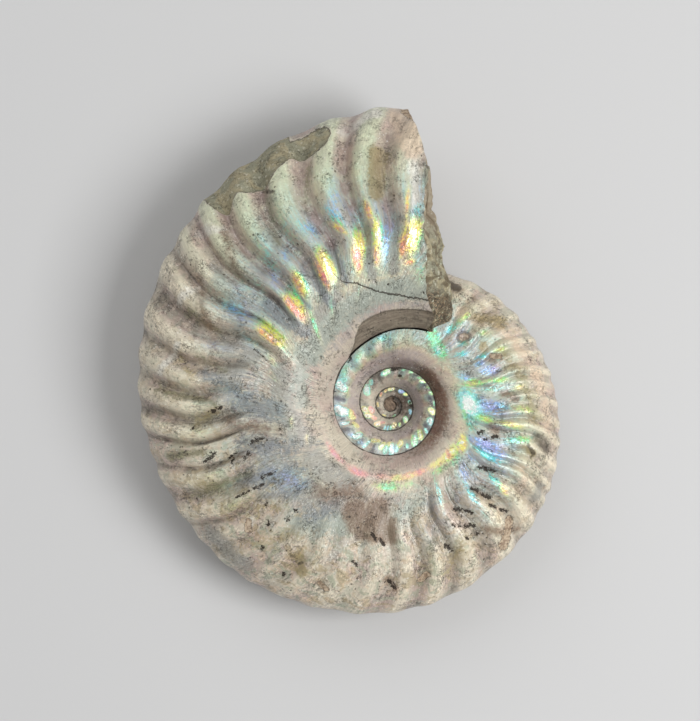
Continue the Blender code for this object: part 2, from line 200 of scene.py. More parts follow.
# A dark, sunken band between the seam and the flank near the mouth: its outer edge as growth
# angle and flank fraction, and its depth and the width of its edge in millimetres
BAND_LINE = (
    (296, -0.03), (308, -0.012), (318, 0.004), (325, 0.022), (330, 0.05), (335, 0.076),
    (345, 0.088), (362, 0.086), (384, 0.082),
)
BAND_DEPTH = 0.25
BAND_EDGE = (-0.15, 0.25)

# From here on, a stroke is a mark on the upper flank: growth angle and flank fraction of its two
# ends, and its half width in millimetres. Where a stroke's edge is given, 0 is the edge and 1 the
# line of the stroke.

# A round nodule with a brown ring, its height, and the ring's share of its radius
NODULE = (43.2, 0.515, 43.8, 0.535, 0.68)
NODULE_HEIGHT = 0.30
RING_WIDTH = 0.45
# Small places where the skin has come off, their depth and their edge
SPALLS = (
    (131.8, 0.85, 138.2, 0.915, 0.75), (226, 0.76, 228.2, 0.715, 0.45),
    (362.5, 0.93, 360, 0.99, 0.8), (60.5, 0.6, 62.5, 0.66, 0.4), (196.5, 0.86, 199, 0.84, 0.4),
    (165, 0.8, 167.5, 0.83, 0.45),
)
SPALL_DEPTH = 0.14
SPALL_EDGE = (-0.1, 0.15)
# Pits, their depth and their edge
PITS = (
    (119.3, 0.56, 122.5, 0.43, 0.29), (129.5, 0.8, 130.6, 0.74, 0.2),
    (131.2, 0.7, 132.2, 0.65, 0.22), (130, 0.63, 131.2, 0.57, 0.26),
    (131.6, 0.53, 133, 0.48, 0.22), (140, 0.6, 142.4, 0.54, 0.22),
    (143.4, 0.535, 145.8, 0.5, 0.26), (142.2, 0.69, 143.6, 0.66, 0.26),
    (144.2, 0.655, 145.4, 0.64, 0.32), (147, 0.615, 147.8, 0.595, 0.2),
    (149, 0.59, 150, 0.57, 0.19), (143, 0.75, 143.4, 0.74, 0.22), (147, 0.715, 147.4, 0.7, 0.19),
    (154.3, 0.73, 155.8, 0.68, 0.31), (103.4, 0.49, 104.4, 0.455, 0.29),
    (102.6, 0.385, 105, 0.345, 0.26), (106.2, 0.42, 107.2, 0.4, 0.17),
    (176.3, 0.84, 178.2, 0.79, 0.31), (180.2, 0.555, 182, 0.52, 0.24),
    (183.5, 0.52, 185.8, 0.48, 0.22), (189.3, 0.69, 191.6, 0.66, 0.2),
    (209.5, 0.87, 209.9, 0.86, 0.27), (219.2, 0.795, 219.6, 0.78, 0.27),
    (219.2, 0.575, 219.8, 0.565, 0.29), (219.3, 0.505, 219.9, 0.495, 0.24),
    (223.3, 0.665, 223.8, 0.65, 0.29), (236.7, 0.675, 236.3, 0.6, 0.17),
    (236.2, 0.575, 235.7, 0.52, 0.22), (238.6, 0.5, 237.4, 0.43, 0.24),
    (250.2, 0.745, 250.9, 0.715, 0.17), (250.9, 0.71, 252, 0.675, 0.34),
    (249.3, 0.615, 250.6, 0.555, 0.14), (247.6, 0.605, 248.5, 0.59, 0.22),
    (247.5, 0.535, 248.6, 0.5, 0.29), (252.6, 0.465, 252.8, 0.4, 0.29),
    (265.2, 0.625, 266.6, 0.565, 0.22), (260.3, 0.745, 260.8, 0.735, 0.19),
    (286.3, 0.33, 289.6, 0.42, 0.09), (349, 0.232, 349.5, 0.228, 0.17),
    (371, 0.17, 372.5, 0.165, 0.14), (355, 0.205, 357, 0.2, 0.1), (228.5, 0.59, 229.4, 0.57, 0.15),
    (-360.5, 0.39, -350, 0.4, 0.26), (-346.8, 0.25, -345, 0.27, 0.15),
    (-46.5, 0.3, -43.5, 0.31, 0.17), (-640, 0.36, -634, 0.38, 0.24),
)
PIT_DEPTH = 0.12
PIT_EDGE = (-0.2, 0.6)
# Stains, each stroke with a strength at its end; the dusky strokes are broad painted shade
STAINS = {
    "brown": (
        (197, 0.34, 190, 0.46, 2.2, 1.5), (185, 0.32, 182.5, 0.47, 2.2, 1.6),
        (178, 0.42, 178, 0.52, 1.5, 1.1), (200, 0.25, 218, 0.33, 2.4, 0.65),
        (22.5, 0.9, 26.5, 0.88, 1.3, 0.7), (176, 0.84, 178.5, 0.78, 0.9, 0.8),
        (57, 0.52, 66, 0.62, 1.1, 0.7), (80, 0.55, 84, 0.66, 1, 0.8),
        (98, 0.42, 100.5, 0.5, 0.9, 0.8), (131.5, 0.93, 139, 0.76, 1, 0.75),
        (255, 0.3, 262, 0.55, 1.5, 0.5), (286, 0.62, 300, 0.8, 1.2, 0.6),
        (306.5, 0.62, 313, 0.82, 1.1, 0.6), (249, 0.6, 247, 0.48, 1, 0.5),
        (368, 0.55, 366.5, 0.62, 0.9, 0.8), (378, 0.07, 384, 0.06, 1, 0.8),
    ),
    "slate": (
        (326.3, 0.24, 326, 0.46, 0.9, 1.2), (317.4, 0.28, 316.4, 0.44, 0.4, 0.8),
        (337, 0.28, 336.4, 0.48, 0.8, 0.9), (307.5, 0.24, 306, 0.46, 1.4, 1.2),
        (264, 0.3, 268, 0.46, 2.3, 0.9), (244, 0.26, 252, 0.5, 2, 0.6),
        (233, 0.32, 240, 0.6, 1.8, 0.7), (225, 0.35, 231, 0.55, 1.5, 0.6),
        (272, 0.48, 277, 0.66, 1.3, 0.6), (296, 0.52, 299, 0.62, 1, 0.4),
        (206, 0.3, 214, 0.5, 2.2, 0.5), (155, 0.35, 160, 0.6, 1.4, 0.45),
    ),
    "lilac": ((330, 0.13, 378, 0.1, 2.2, 0.5), (312, 0.1, 326, 0.08, 2, 0.4)),
    "sage": (
        (300, 0.16, 372, 0.18, 2.2, 1.4), (270, 0.16, 300, 0.2, 1.8, 0.9),
        (200, 0.45, 215, 0.55, 3, 0.8), (300, 0.6, 303, 0.72, 1.5, 0.8),
        (322, 0.62, 326, 0.8, 1.5, 0.7), (160, 0.3, 176, 0.4, 2.5, 0.6),
    ),
    "dusk": (
        (220, 0.93, 232, 0.92, 2, 0.9), (329, 0.25, 314, 0.22, 1.8, 1.4),
        (116, 0.92, 120, 0.92, 1.2, 0.9), (348.7, 0.24, 348.4, 0.48, 0.9, 1),
        (357.8, 0.26, 357.4, 0.5, 1.1, 1.1), (282, 0.27, 246, 0.21, 2.6, 1.2),
        (232, 0.22, 208, 0.2, 2.6, 1.4), (288, 0.42, 276, 0.56, 1.9, 0.9),
        (304.5, 0.64, 305.2, 0.78, 0.9, 0.9), (200, 0.36, 250, 0.42, 5, 0.7),
        (300, 0.16, 376, 0.18, 3, 0.7), (262, 0.5, 322, 0.58, 3.5, 0.6),
        (255, 0.25, 285, 0.25, 3.5, 0.35), (175, 0.3, 200, 0.45, 4, 0.5),
        (55, 0.34, 70, 0.44, 2.2, 0.5), (84, 0.36, 92, 0.52, 1.8, 0.5),
        (106, 0.34, 118, 0.5, 1.8, 0.6),
    ),
    "moss": (
        (99.4, 0.82, 102.4, 0.89, 1.3, 0.9), (103, 0.74, 105.5, 0.8, 0.4, 1),
        (326, 0.86, 328, 0.8, 0.4, 1), (22.5, 0.905, 26.5, 0.885, 0.75, 1.6),
        (206.6, 0.75, 207.6, 0.77, 0.35, 1),
    ),
    "olive": (
        (205, 0.68, 211, 0.82, 1.6, 0.3), (268, 0.6, 271, 0.9, 0.8, 0.7),
        (279, 0.55, 281, 0.7, 0.9, 0.5), (290, 0.62, 292, 0.8, 1, 0.6),
        (241.5, 0.55, 242.5, 0.9, 0.9, 0.6), (253.5, 0.72, 254, 0.9, 0.9, 0.8),
        (322, 0.6, 326, 0.8, 1.2, 0.5), (160, 0.6, 168, 0.85, 1.6, 0.4),
        (334, 0.7, 338, 0.84, 1, 0.5),
    ),
    "ochre": (
        (353.9, 0.79, 352.8, 0.62, 1.9, 1.4), (38, 0.72, 50, 0.85, 1.4, 0.7),
        (53, 0.6, 58, 0.55, 1, 0.8), (60, 0.7, 92, 0.78, 1.6, 0.5),
        (205, 0.8, 209, 0.72, 1.4, 0.9), (237, 0.62, 243, 0.8, 2, 0.6),
        (262, 0.72, 266, 0.6, 1.3, 0.6), (276, 0.72, 280, 0.8, 1.2, 0.5),
        (226, 0.55, 236, 0.74, 2.4, 0.45), (214, 0.62, 222, 0.8, 1.8, 0.4),
        (150, 0.7, 158, 0.85, 1.4, 0.5), (104, 0.72, 106, 0.8, 0.9, 0.8),
    ),
    "tan": (
        (358.8, 0.98, 361.5, 0.79, 2.2, 1.5), (34, 0.7, 44, 0.74, 1.5, 0.8),
        (46, 0.8, 66, 0.84, 1.3, 0.6), (70, 0.86, 96, 0.9, 1.3, 0.6),
        (112, 0.74, 118, 0.8, 1.2, 0.5), (366.5, 0.6, 366.8, 0.7, 0.7, 0.9),
    ),
    "white": (
        (182, 0.14, 194, 0.14, 0.9, 0.7), (226.5, 0.755, 228, 0.7, 0.7, 1),
        (275, 0.88, 283, 0.8, 0.8, 0.8), (292.5, 0.86, 300, 0.78, 0.9, 0.7),
        (309, 0.93, 314.5, 0.8, 1, 0.7), (354, 0.97, 347, 0.93, 1.2, 0.9),
        (364, 0.55, 362, 0.76, 1.2, 0.8), (196, 0.55, 199, 0.68, 1, 0.5),
        (214, 0.66, 216, 0.72, 0.8, 0.5),
    ),
}
# Painted flashes: highlights in the nacre's hues laid into its colour, each stroke with a hue
# and a strength at its end. The hues run through rose 0, orange 0.1, yellow 0.2, green 0.33,
# cyan 0.46, blue 0.6, lavender 0.74, mauve 0.88
FLASHES = (
    (297, 0.29, 299.4, 0.46, 1, 0.16, 1), (295.6, 0.31, 297, 0.45, 0.7, 0.01, 1.1),
    (298.6, 0.27, 301, 0.44, 0.5, 0.3, 0.7), (296.5, 0.5, 303, 0.62, 2.2, 0.64, 0.35),
    (311.4, 0.27, 312.8, 0.42, 0.7, 0.98, 1.3), (313.8, 0.27, 315.2, 0.42, 0.6, 0.18, 1.1),
    (315.6, 0.3, 317, 0.46, 0.4, 0.36, 0.8), (313.5, 0.48, 315.5, 0.54, 0.9, 0.62, 0.5),
    (318.4, 0.34, 320, 0.47, 0.5, 0.07, 1.2), (320, 0.34, 321.3, 0.47, 0.5, 0.19, 1.4),
    (321.5, 0.33, 322.5, 0.46, 0.35, 0.35, 1), (320.5, 0.51, 322.5, 0.57, 0.9, 0.6, 0.5),
    (328.8, 0.29, 329.3, 0.45, 0.6, 0.99, 1.2), (332.6, 0.33, 332, 0.47, 0.85, 0.17, 2.2),
    (334.1, 0.35, 333.6, 0.48, 0.35, 0.36, 0.8), (333, 0.53, 330.4, 0.63, 0.9, 0.52, 0.8),
    (343.6, 0.3, 344.3, 0.44, 0.8, 0.98, 1.2), (346.4, 0.36, 345.8, 0.49, 0.75, 0.18, 1.5),
    (342.8, 0.465, 337.8, 0.565, 0.45, 0.07, 1), (342.8, 0.495, 338, 0.595, 0.4, 0.3, 0.8),
    (342.6, 0.53, 338.4, 0.63, 0.7, 0.56, 0.8), (353.3, 0.38, 353.5, 0.5, 0.35, 0.38, 0.9),
    (351.9, 0.37, 352.1, 0.5, 0.75, 0.18, 1.6), (350.8, 0.29, 351.1, 0.4, 0.6, 0.06, 1),
    (350.8, 0.49, 349.4, 0.6, 0.6, 0.05, 0.9), (354.6, 0.28, 354.8, 0.52, 0.6, 0.58, 0.8),
    (363.2, 0.345, 364.6, 0.47, 1.3, 0.18, 1.9), (360.6, 0.31, 361.8, 0.44, 0.8, 0, 1.1),
    (362.6, 0.29, 365.6, 0.3, 0.5, 0.03, 1), (363.8, 0.5, 365, 0.56, 0.7, 0.44, 0.9),
    (361.2, 0.44, 361.4, 0.66, 0.4, 0.04, 0.8), (370, 0.2, 368, 0.3, 1.1, 0.44, 0.5),
    (286, 0.3, 290, 0.36, 0.7, 0.08, 0.4), (279, 0.28, 284, 0.34, 0.6, 0.06, 0.4),
    (25, 0.42, 33, 0.3, 1.3, 0.38, 1.1), (33, 0.33, 42, 0.27, 1.1, 0.4, 1.4),
    (37, 0.32, 40, 0.3, 0.6, 0.34, 1.5), (24, 0.5, 27, 0.66, 0.8, 0.66, 0.6),
    (33.6, 0.46, 36.4, 0.6, 0.7, 0.42, 1.1), (35.6, 0.58, 37.2, 0.74, 0.5, 0.22, 1),
    (44.5, 0.42, 48, 0.56, 0.6, 0.44, 0.8), (47.5, 0.62, 49.5, 0.72, 0.5, 0.24, 0.7),
    (49, 0.36, 52, 0.44, 0.7, 0.46, 0.9), (57.5, 0.44, 59.5, 0.62, 0.5, 0.5, 0.9),
    (58.8, 0.62, 60.4, 0.76, 0.5, 0.2, 0.8), (60.6, 0.42, 62, 0.52, 0.6, 0.58, 0.7),
    (66, 0.46, 68, 0.58, 0.9, 0.66, 0.9), (63, 0.27, 67, 0.33, 0.8, 0.6, 0.8),
    (70, 0.26, 72.6, 0.44, 0.6, 0.26, 1.1), (72.4, 0.44, 74.2, 0.66, 0.5, 0.24, 0.9),
    (76.6, 0.34, 78, 0.6, 0.5, 0.46, 0.7), (79, 0.66, 78.6, 0.76, 0.5, 0.12, 0.7),
    (80.5, 0.25, 90.5, 0.29, 1.7, 0.47, 2.4), (86, 0.32, 90, 0.44, 1.2, 0.57, 0.9),
    (318, 0.3, 308, 0.13, 0.55, 0.36, 0.8), (297.5, 0.4, 292, 0.21, 0.6, 0.4, 0.5),
    (329, 0.28, 322, 0.17, 0.5, 0.38, 0.5), (343.5, 0.26, 338, 0.18, 0.5, 0.45, 0.4),
    (122, 0.22, 126, 0.21, 0.5, 0.33, 1.2), (128, 0.205, 131, 0.2, 0.5, 0.1, 1.1),
    (114, 0.25, 117, 0.235, 0.6, 0.3, 1.3), (80, 0.23, 97, 0.235, 0.6, 0.3, 1.5),
    (84, 0.38, 90, 0.52, 1.2, 0.66, 0.8), (88, 0.62, 89, 0.78, 0.6, 0.22, 0.9),
    (86, 0.46, 88, 0.6, 0.5, 0.56, 1.2), (94.4, 0.28, 95.6, 0.46, 0.6, 0.22, 1),
    (95.4, 0.46, 96.6, 0.74, 0.6, 0.14, 0.8), (99.5, 0.26, 103, 0.3, 0.7, 0.46, 0.8),
    (100.4, 0.76, 102.6, 0.62, 0.7, 0.34, 1.1), (102, 0.66, 104, 0.56, 0.8, 0.44, 0.9),
    (109.4, 0.3, 111.4, 0.6, 1, 0.66, 1.35), (113.2, 0.32, 115.4, 0.6, 0.6, 0.48, 1.2),
    (111, 0.24, 118, 0.27, 0.8, 0.16, 1.4), (119, 0.3, 121, 0.4, 0.8, 0.6, 0.6),
    (121.6, 0.52, 123.6, 0.64, 0.7, 0.5, 1.1), (123.2, 0.64, 124.2, 0.72, 0.7, 0.05, 0.8),
    (118, 0.22, 132, 0.195, 1, 0.2, 1.1), (121, 0.2, 123, 0.24, 0.5, 0.33, 1.3),
    (126, 0.185, 128, 0.22, 0.5, 0.99, 1.1), (130, 0.18, 131.5, 0.22, 0.5, 0.3, 1.1),
    (124, 0.27, 131, 0.26, 0.8, 0.34, 0.7), (126, 0.3, 132, 0.42, 1, 0.64, 0.6),
    (133.4, 0.36, 136.2, 0.62, 0.5, 0.5, 1.1), (136, 0.62, 137, 0.72, 0.5, 0.44, 0.5),
    (132, 0.19, 145, 0.165, 0.7, 0.19, 1.2), (134, 0.24, 146, 0.21, 0.8, 0.35, 0.7),
    (144.6, 0.18, 151.4, 0.48, 0.35, 0.46, 0.8), (148, 0.165, 159, 0.15, 0.7, 0.04, 0.9),
    (158, 0.155, 168, 0.145, 0.7, 0.14, 1.2), (160, 0.21, 168, 0.19, 0.9, 0.36, 0.5),
    (169, 0.15, 176, 0.14, 0.7, 0.2, 1.1), (168, 0.2, 190, 0.18, 1.1, 0.34, 0.9),
    (177, 0.135, 192, 0.125, 0.7, 0.06, 0.8), (194, 0.135, 214, 0.12, 0.8, 0.99, 1),
    (214, 0.12, 240, 0.1, 0.6, 0.98, 1), (224, 0.34, 238, 0.44, 2.2, 0.7, 0.42),
    (246, 0.24, 274, 0.3, 2.4, 0.58, 0.14), (242, 0.2, 250, 0.17, 0.5, 0.08, 0.5),
    (254, 0.24, 262, 0.22, 0.5, 0.08, 0.45), (246.2, 0.6, 245.4, 0.82, 0.9, 0.04, 0.28),
    (259.4, 0.6, 258.6, 0.84, 0.9, 0.04, 0.3), (234.6, 0.6, 234.8, 0.8, 0.8, 0.05, 0.28),
    (267, 0.6, 267, 0.76, 0.8, 0.05, 0.25), (239, 0.56, 240.4, 0.76, 1.6, 0.66, 0.25),
    (269, 0.42, 274, 0.6, 1.8, 0.52, 0.2), (296.4, 0.74, 299.8, 0.49, 1.6, 0.53, 0.5),
    (284.8, 0.72, 286.8, 0.54, 1.1, 0.62, 0.3), (290.5, 0.4, 293, 0.52, 1, 0.44, 0.35),
    (304.5, 0.46, 306.5, 0.68, 1.6, 0.46, 0.3), (308, 0.5, 310.5, 0.58, 0.8, 0.36, 0.4),
    (316.5, 0.5, 318.5, 0.7, 1.8, 0.44, 0.45), (325, 0.5, 328, 0.74, 2, 0.46, 0.35),
    (339.8, 0.56, 341.8, 0.68, 1.5, 0.62, 0.55), (346.5, 0.44, 348, 0.62, 1, 0.46, 0.45),
    (355.5, 0.36, 357.5, 0.52, 1.2, 0.6, 0.4), (365.5, 0.56, 364, 0.68, 0.9, 0.56, 0.4),
)
# The brightest painted flash, where the nacre is smooth
BRIGHTEST = (84, 0.27, 89, 0.31, 1.8)
# The same inside the umbilicus, with shares of what shows of a turn for flank fractions: firm
# painted flashes, and soft painted glows on the outermost of these turns
INNER_FLASHES = (
    (-71, 0.88, -73, 0.66, 0.62, 0.47, 1.7), (-66, 0.86, -64, 0.72, 0.4, 0.4, 0.8),
    (-74, 0.5, -80, 0.46, 0.5, 0.22, 0.3), (-98, 0.84, -100.5, 0.66, 0.8, 0.48, 1.7),
    (-103, 0.42, -109, 0.38, 0.6, 0.23, 0.9), (-113, 0.88, -114.5, 0.66, 0.22, 0.52, 1.6),
    (-119, 0.47, -124, 0.42, 0.4, 0.22, 0.8), (-133.5, 0.76, -135.5, 0.56, 0.42, 0.48, 1.5),
    (-128, 0.84, -131, 0.76, 0.35, 0.58, 0.5), (-149, 0.86, -151.5, 0.6, 0.2, 0.5, 1.4),
    (-146, 0.8, -142, 0.82, 0.35, 0.58, 0.5), (-155, 0.5, -163, 0.46, 0.35, 0.21, 1),
    (-169, 0.7, -171.5, 0.52, 0.35, 0.26, 1.4), (-175, 0.86, -176.5, 0.66, 0.35, 0.44, 1.2),
    (-183, 0.9, -184, 0.6, 0.38, 0.48, 1.6), (-178.5, 0.56, -181, 0.54, 0.3, 0.21, 1),
    (-189.5, 0.84, -191, 0.68, 0.25, 0.42, 1.1), (-194, 0.66, -197.5, 0.58, 0.4, 0.18, 1.3),
    (-204, 0.86, -205, 0.74, 0.25, 0.46, 0.7), (-214.5, 0.86, -217.5, 0.68, 0.5, 0.38, 1.4),
    (-226, 0.84, -230, 0.66, 0.45, 0.26, 1.3), (-236, 0.9, -238, 0.8, 0.25, 0.44, 0.8),
    (-250, 0.88, -252, 0.8, 0.45, 0.45, 1.7), (-264, 0.88, -266.5, 0.78, 0.42, 0.22, 1.5),
    (-274, 0.95, -278, 0.93, 0.2, 0.34, 0.8), (-289, 0.96, -291.5, 0.9, 0.22, 0.33, 1.3),
    (-298, 0.95, -301, 0.9, 0.18, 0.3, 0.7), (-309, 0.93, -312.5, 0.84, 0.28, 0.24, 1.4),
    (-317, 0.92, -319, 0.88, 0.2, 0.36, 0.9), (-331.5, 0.95, -334, 0.9, 0.2, 0.32, 1.2),
    (-342, 0.93, -346, 0.9, 0.2, 0.36, 0.7), (-370, 0.88, -374, 0.8, 0.45, 0.3, 1.3),
    (-366, 0.86, -367, 0.78, 0.26, 0.24, 1.2), (-378, 0.84, -380, 0.76, 0.23, 0.4, 0.8),
    (-403, 0.84, -405.5, 0.76, 0.31, 0.45, 1.3), (-417.5, 0.8, -424, 0.68, 0.55, 0.44, 1.6),
    (-460.5, 0.8, -464, 0.7, 0.45, 0.2, 1.5), (-463, 0.38, -470, 0.34, 0.45, 0.04, 1.1),
    (-475.5, 0.82, -479, 0.62, 0.39, 0.18, 1.5), (-486, 0.52, -492, 0.46, 0.33, 0.02, 1),
    (-505, 0.76, -509, 0.62, 0.36, 0.13, 1.4), (-515, 0.44, -520, 0.42, 0.26, 0.02, 0.8),
    (-527, 0.9, -528, 0.68, 0.16, 0.45, 0.9), (-534, 0.9, -535, 0.66, 0.16, 0.5, 0.8),
    (-541, 0.88, -542, 0.66, 0.16, 0.34, 0.8), (-549, 0.68, -553, 0.58, 0.36, 0.18, 1.4),
    (-566, 0.8, -568, 0.66, 0.21, 0.24, 0.8), (-587, 0.82, -590, 0.64, 0.36, 0.3, 1.4),
    (-613, 0.86, -616, 0.78, 0.31, 0.6, 0.7), (-640, 0.8, -644, 0.76, 0.26, 0.36, 0.6),
    (-669, 0.86, -673, 0.76, 0.26, 0.22, 1.1), (-684, 0.84, -690, 0.74, 0.34, 0.66, 0.9),
    (-718, 0.84, -729, 0.8, 0.29, 0.2, 1.3), (-742, 0.82, -746, 0.76, 0.21, 0.1, 0.9),
    (-763, 0.84, -770, 0.76, 0.23, 0.02, 0.9), (-804, 0.8, -815, 0.76, 0.21, 0.04, 0.9),
    (-862, 0.84, -874, 0.8, 0.18, 0.1, 0.7), (-915, 0.84, -925, 0.8, 0.18, 0.3, 0.6),
)
INNER_GLOWS = (
    (22, 0.80, 2, 0.80, 1.1, 0.36, 0.7), (4, 0.86, -24, 0.92, 0.9, 0.45, 0.6),
    (-32, 0.82, -42, 0.80, 0.9, 0.40, 0.55), (-52, 0.90, -66, 0.84, 0.9, 0.38, 0.7),
)
INNER_FLASH_GAIN = 1.3
# Dark gaps between the flashes there, also by share
INNER_GAPS = (
    (-10.5, 0.45, -10.5, 0.95, 0.45, 0.6), (-45, 0.92, -44, 0.84, 0.55, 1),
    (-84.5, 0.95, -86.5, 0.6, 0.95, 0.9), (-108.5, 0.95, -109, 0.66, 0.5, 0.7),
    (-119, 0.95, -123, 0.66, 0.9, 0.9), (-141, 0.95, -142, 0.62, 0.7, 0.8),
    (-160, 0.95, -160, 0.66, 0.9, 0.9), (-203, 0.95, -206, 0.7, 0.9, 0.9),
    (-222, 0.96, -223, 0.74, 0.45, 0.8), (-241, 0.96, -243, 0.7, 0.9, 1),
    (-257, 0.97, -258, 0.74, 0.55, 0.9), (-274, 0.88, -284, 0.78, 0.9, 0.8),
    (-300, 0.88, -306, 0.82, 0.6, 0.6), (-322, 0.92, -326, 0.88, 0.5, 0.6),
)
# Weight of the plain hue beside the flashes' own, and the hue from which rose counts as below 0
PLAIN_WEIGHT = 0.12
ROSE_AGAIN = 0.93

# The plain hue and the strength of the painted sheen across the flank, and its strength along
# the coil
PLAIN_HUES = (
    (0, 0.05), (0.1, 0.08), (0.2, 0.2), (0.27, 0.34), (0.34, 0.44), (0.45, 0.5), (0.58, 0.48),
    (0.7, 0.38), (0.8, 0.3), (0.9, 0.14), (1, 0.05),
)
SHEEN_BY_FRACTION = (
    (0, 0), (0.08, 0.05), (0.18, 0.3), (0.3, 0.75), (0.45, 0.9), (0.6, 0.75), (0.72, 0.5),
    (0.85, 0.25), (1, 0.05),
)
SHEEN_BY_ANGLE = (
    (0, 1.2), (40, 1.4), (95, 1.4), (140, 0.8), (170, 0.4), (205, 0.4), (235, 0.6), (270, 0.6),
    (290, 0.7), (305, 1.1), (340, 1.3), (390, 1),
)
# The same across the share of an inner turn that shows
INNER_HUES = ((0, -0.06), (0.27, 0), (0.42, 0.2), (0.58, 0.38), (0.7, 0.47), (1, 0.5))
INNER_SHEEN = ((0, 0.1), (0.28, 0.25), (0.42, 0.7), (0.6, 1), (0.92, 1), (1, 0.7))
# Strength of the pale and dark streaks, of the painted shade on the wall of the umbilicus, dusky
# to rose-brown, and of the wear
STREAKS_BY_ANGLE = ((20, 0.15), (110, 0.2), (170, 0.5), (210, 1), (275, 1), (300, 0.6), (382, 0.4))
WALL_SHADE_BY_ANGLE = (
    (20, 1.1), (60, 1.1), (110, 0.9), (150, 0.55), (190, 0.35), (230, 0.15), (290, 0.35),
    (330, 0.45), (382, 0.2),
)
WORN_BY_ANGLE = (
    (20, 0.5), (60, 0.55), (120, 0.5), (150, 0.8), (180, 1), (230, 1), (262, 0.7), (290, 0.35),
    (330, 0.15), (382, 0.3),
)
# The growth angle on whose side the painted shade in the umbilicus is darkest
SHADIEST_ANGLE = 65
# Width of the dark line along a seam, painted shade and dirt, in millimetres
SEAM_LINE = 0.16

# Millimetres within which two points are one, and mesh steps
WELD = 0.001
COLUMNS = 800
UPPER_ROWS = 92
LOWER_ROWS = 30
INNER_TURNS = 3
INNER_COLUMNS = 480
INNER_ROWS = 16
STONE_COLUMNS = 260
STONE_ROWS = 90

# The dark middle of the umbilicus: mesh steps, where it starts, its size and its dome
CENTRE_COLUMNS = 72
CENTRE_ROWS = 8
CENTRE_START = 0.02
CENTRE_RADIUS_TO_SEAM = 1.3
CENTRE_HEIGHT_TO_SEAM = 0.9
CENTRE_DOME = 0.25

# Camera and lights: the target in millimetres of the solid's own frame, the sensor and the lens in
# millimetres, the rest in metres
CAMERA_DISTANCE = 0.4158
CAMERA_TARGET = Vector((-5.683, 6.195, 0))
SENSOR = 36
LENS = 149.8
NEAREST = 0.01
FLOOR_REACH = 1.5
FLOOR_GREY = (0.60, 0.60, 0.60, 1)
SKY_STRENGTH = 0.40
LIGHTS = (("key", (0.32, -0.08, 0.42), 0.26, 2.1), ("fill", (-0.20, 0.34, 0.42), 0.5, 0.8))


def smooth_step(low, high, value):
    """0 at low, 1 at high, and a smooth rise or fall between them."""
    share = np.clip((np.asarray(value, float) - low) / (high - low), 0, 1)
    return share * share * (3 - 2 * share)


def between(value, low, full, fading, high):
    """0 below low and above high, and 1 from full to fading."""
    return smooth_step(low, full, value) * smooth_step(high, fading, value)


def curve_through(points, value):
    """A smooth curve through (x, y) points, with slopes taken from each point's neighbours."""
    x, y = np.array(points, float).T
    slope = np.gradient(y, x)
    value = np.clip(value, x[0], x[-1])
    i = np.clip(np.searchsorted(x, value, side="right") - 1, 0, len(x) - 2)
    width = x[i + 1] - x[i]
    t = (value - x[i]) / width
    start = (1 + 2 * t) * (1 - t) ** 2 * y[i] + t * (1 - t) ** 2 * width * slope[i]
    end = t * t * (3 - 2 * t) * y[i + 1] + t * t * (t - 1) * width * slope[i + 1]
    return start + end


def soft_noise(points, cell, seed):
    """Smooth noise from -1 to 1 at points in millimetres, with bumps about a cell apart."""
    table = np.random.default_rng(seed).uniform(-1, 1, NOISE_VALUES)
    scaled = points / cell
    corner = np.floor(scaled).astype(np.int64)
    t = smooth_step(0, 1, scaled - corner)
    total = 0
    for offset in itertools.product((0, 1), repeat=3):
        key = np.bitwise_xor.reduce((corner + offset) * NOISE_PRIMES, axis=-1) % NOISE_VALUES
        total = total + np.prod(np.where(offset, t, 1 - t), axis=-1) * table[key]
    return total


def layered_noise(points, layers):
    """The sum of soft noises given as height, cell and seed."""
    return sum(height * soft_noise(points, cell, seed) for height, cell, seed in layers)


def spiral_radius(radii, angle):
    """Radius on a spiral through (growth angle, millimetres) points."""
    logs = [(at, math.log(radius)) for at, radius in radii]
    return np.exp(curve_through(logs, angle))


def venter_radius(angle):
    return spiral_radius(VENTER_RADII, angle)


def seam_radius(angle):
    return spiral_radius(SEAM_RADII, angle)


def radius_at(angle, fraction):
    return seam_radius(angle) + (venter_radius(angle) - seam_radius(angle)) * fraction


def flank_length(angle):
    """Millimetres across a flank, from the seam to the venter."""
    return FLANK_CURVE * (venter_radius(angle) - seam_radius(angle))


def half_width(angle):
    return HALF_WIDTH_TO_RADIUS * venter_radius(angle)


def covered_fraction(angle):
    """The flank fraction of a turn at which the next turn's seam lies on it."""
    inner = seam_radius(angle)
    return (seam_radius(angle + TURN) - inner) / (venter_radius(angle) - inner)


def outward_share(fraction):
    """0 from the seam to the widest part of a flank, and 1 at the venter."""
    return np.clip((fraction - WIDEST_FRACTION) / (1 - WIDEST_FRACTION), 0, 1)


def section_height(fraction, seam_height, widest):
    """Height of the flank over the middle plane, before any rib."""
    rise = 1 - np.clip(1 - fraction / WIDEST_FRACTION, 0, 1) ** WALL_POWER
    wall = seam_height + (widest - seam_height) * rise
    flank = widest * (1 - outward_share(fraction) ** FLANK_POWER) ** (1 / KEEL_POWER)
    return np.where(fraction < WIDEST_FRACTION, wall, flank)


def seam_height(angle):
    """Height at which a turn's seam lies on the turn before."""
    before = np.asarray(angle, float) - TURN
    widest = half_width(before)
    return section_height(covered_fraction(before), SEAM_HEIGHT_TO_WIDTH * widest, widest)


def fraction_at(step):
    """Flank fraction at a section step from 0 to 1, even steps being even along the curve."""
    quarter = np.clip((step - WIDEST_SECTION_STEP) / (1 - WIDEST_SECTION_STEP), 0, 1)
    outward = np.sin(quarter * math.pi / 2) ** (2 / FLANK_POWER)
    outer = WIDEST_FRACTION + (1 - WIDEST_FRACTION) * outward
    inner = WIDEST_FRACTION * step / WIDEST_SECTION_STEP
    return np.where(step < WIDEST_SECTION_STEP, inner, outer)


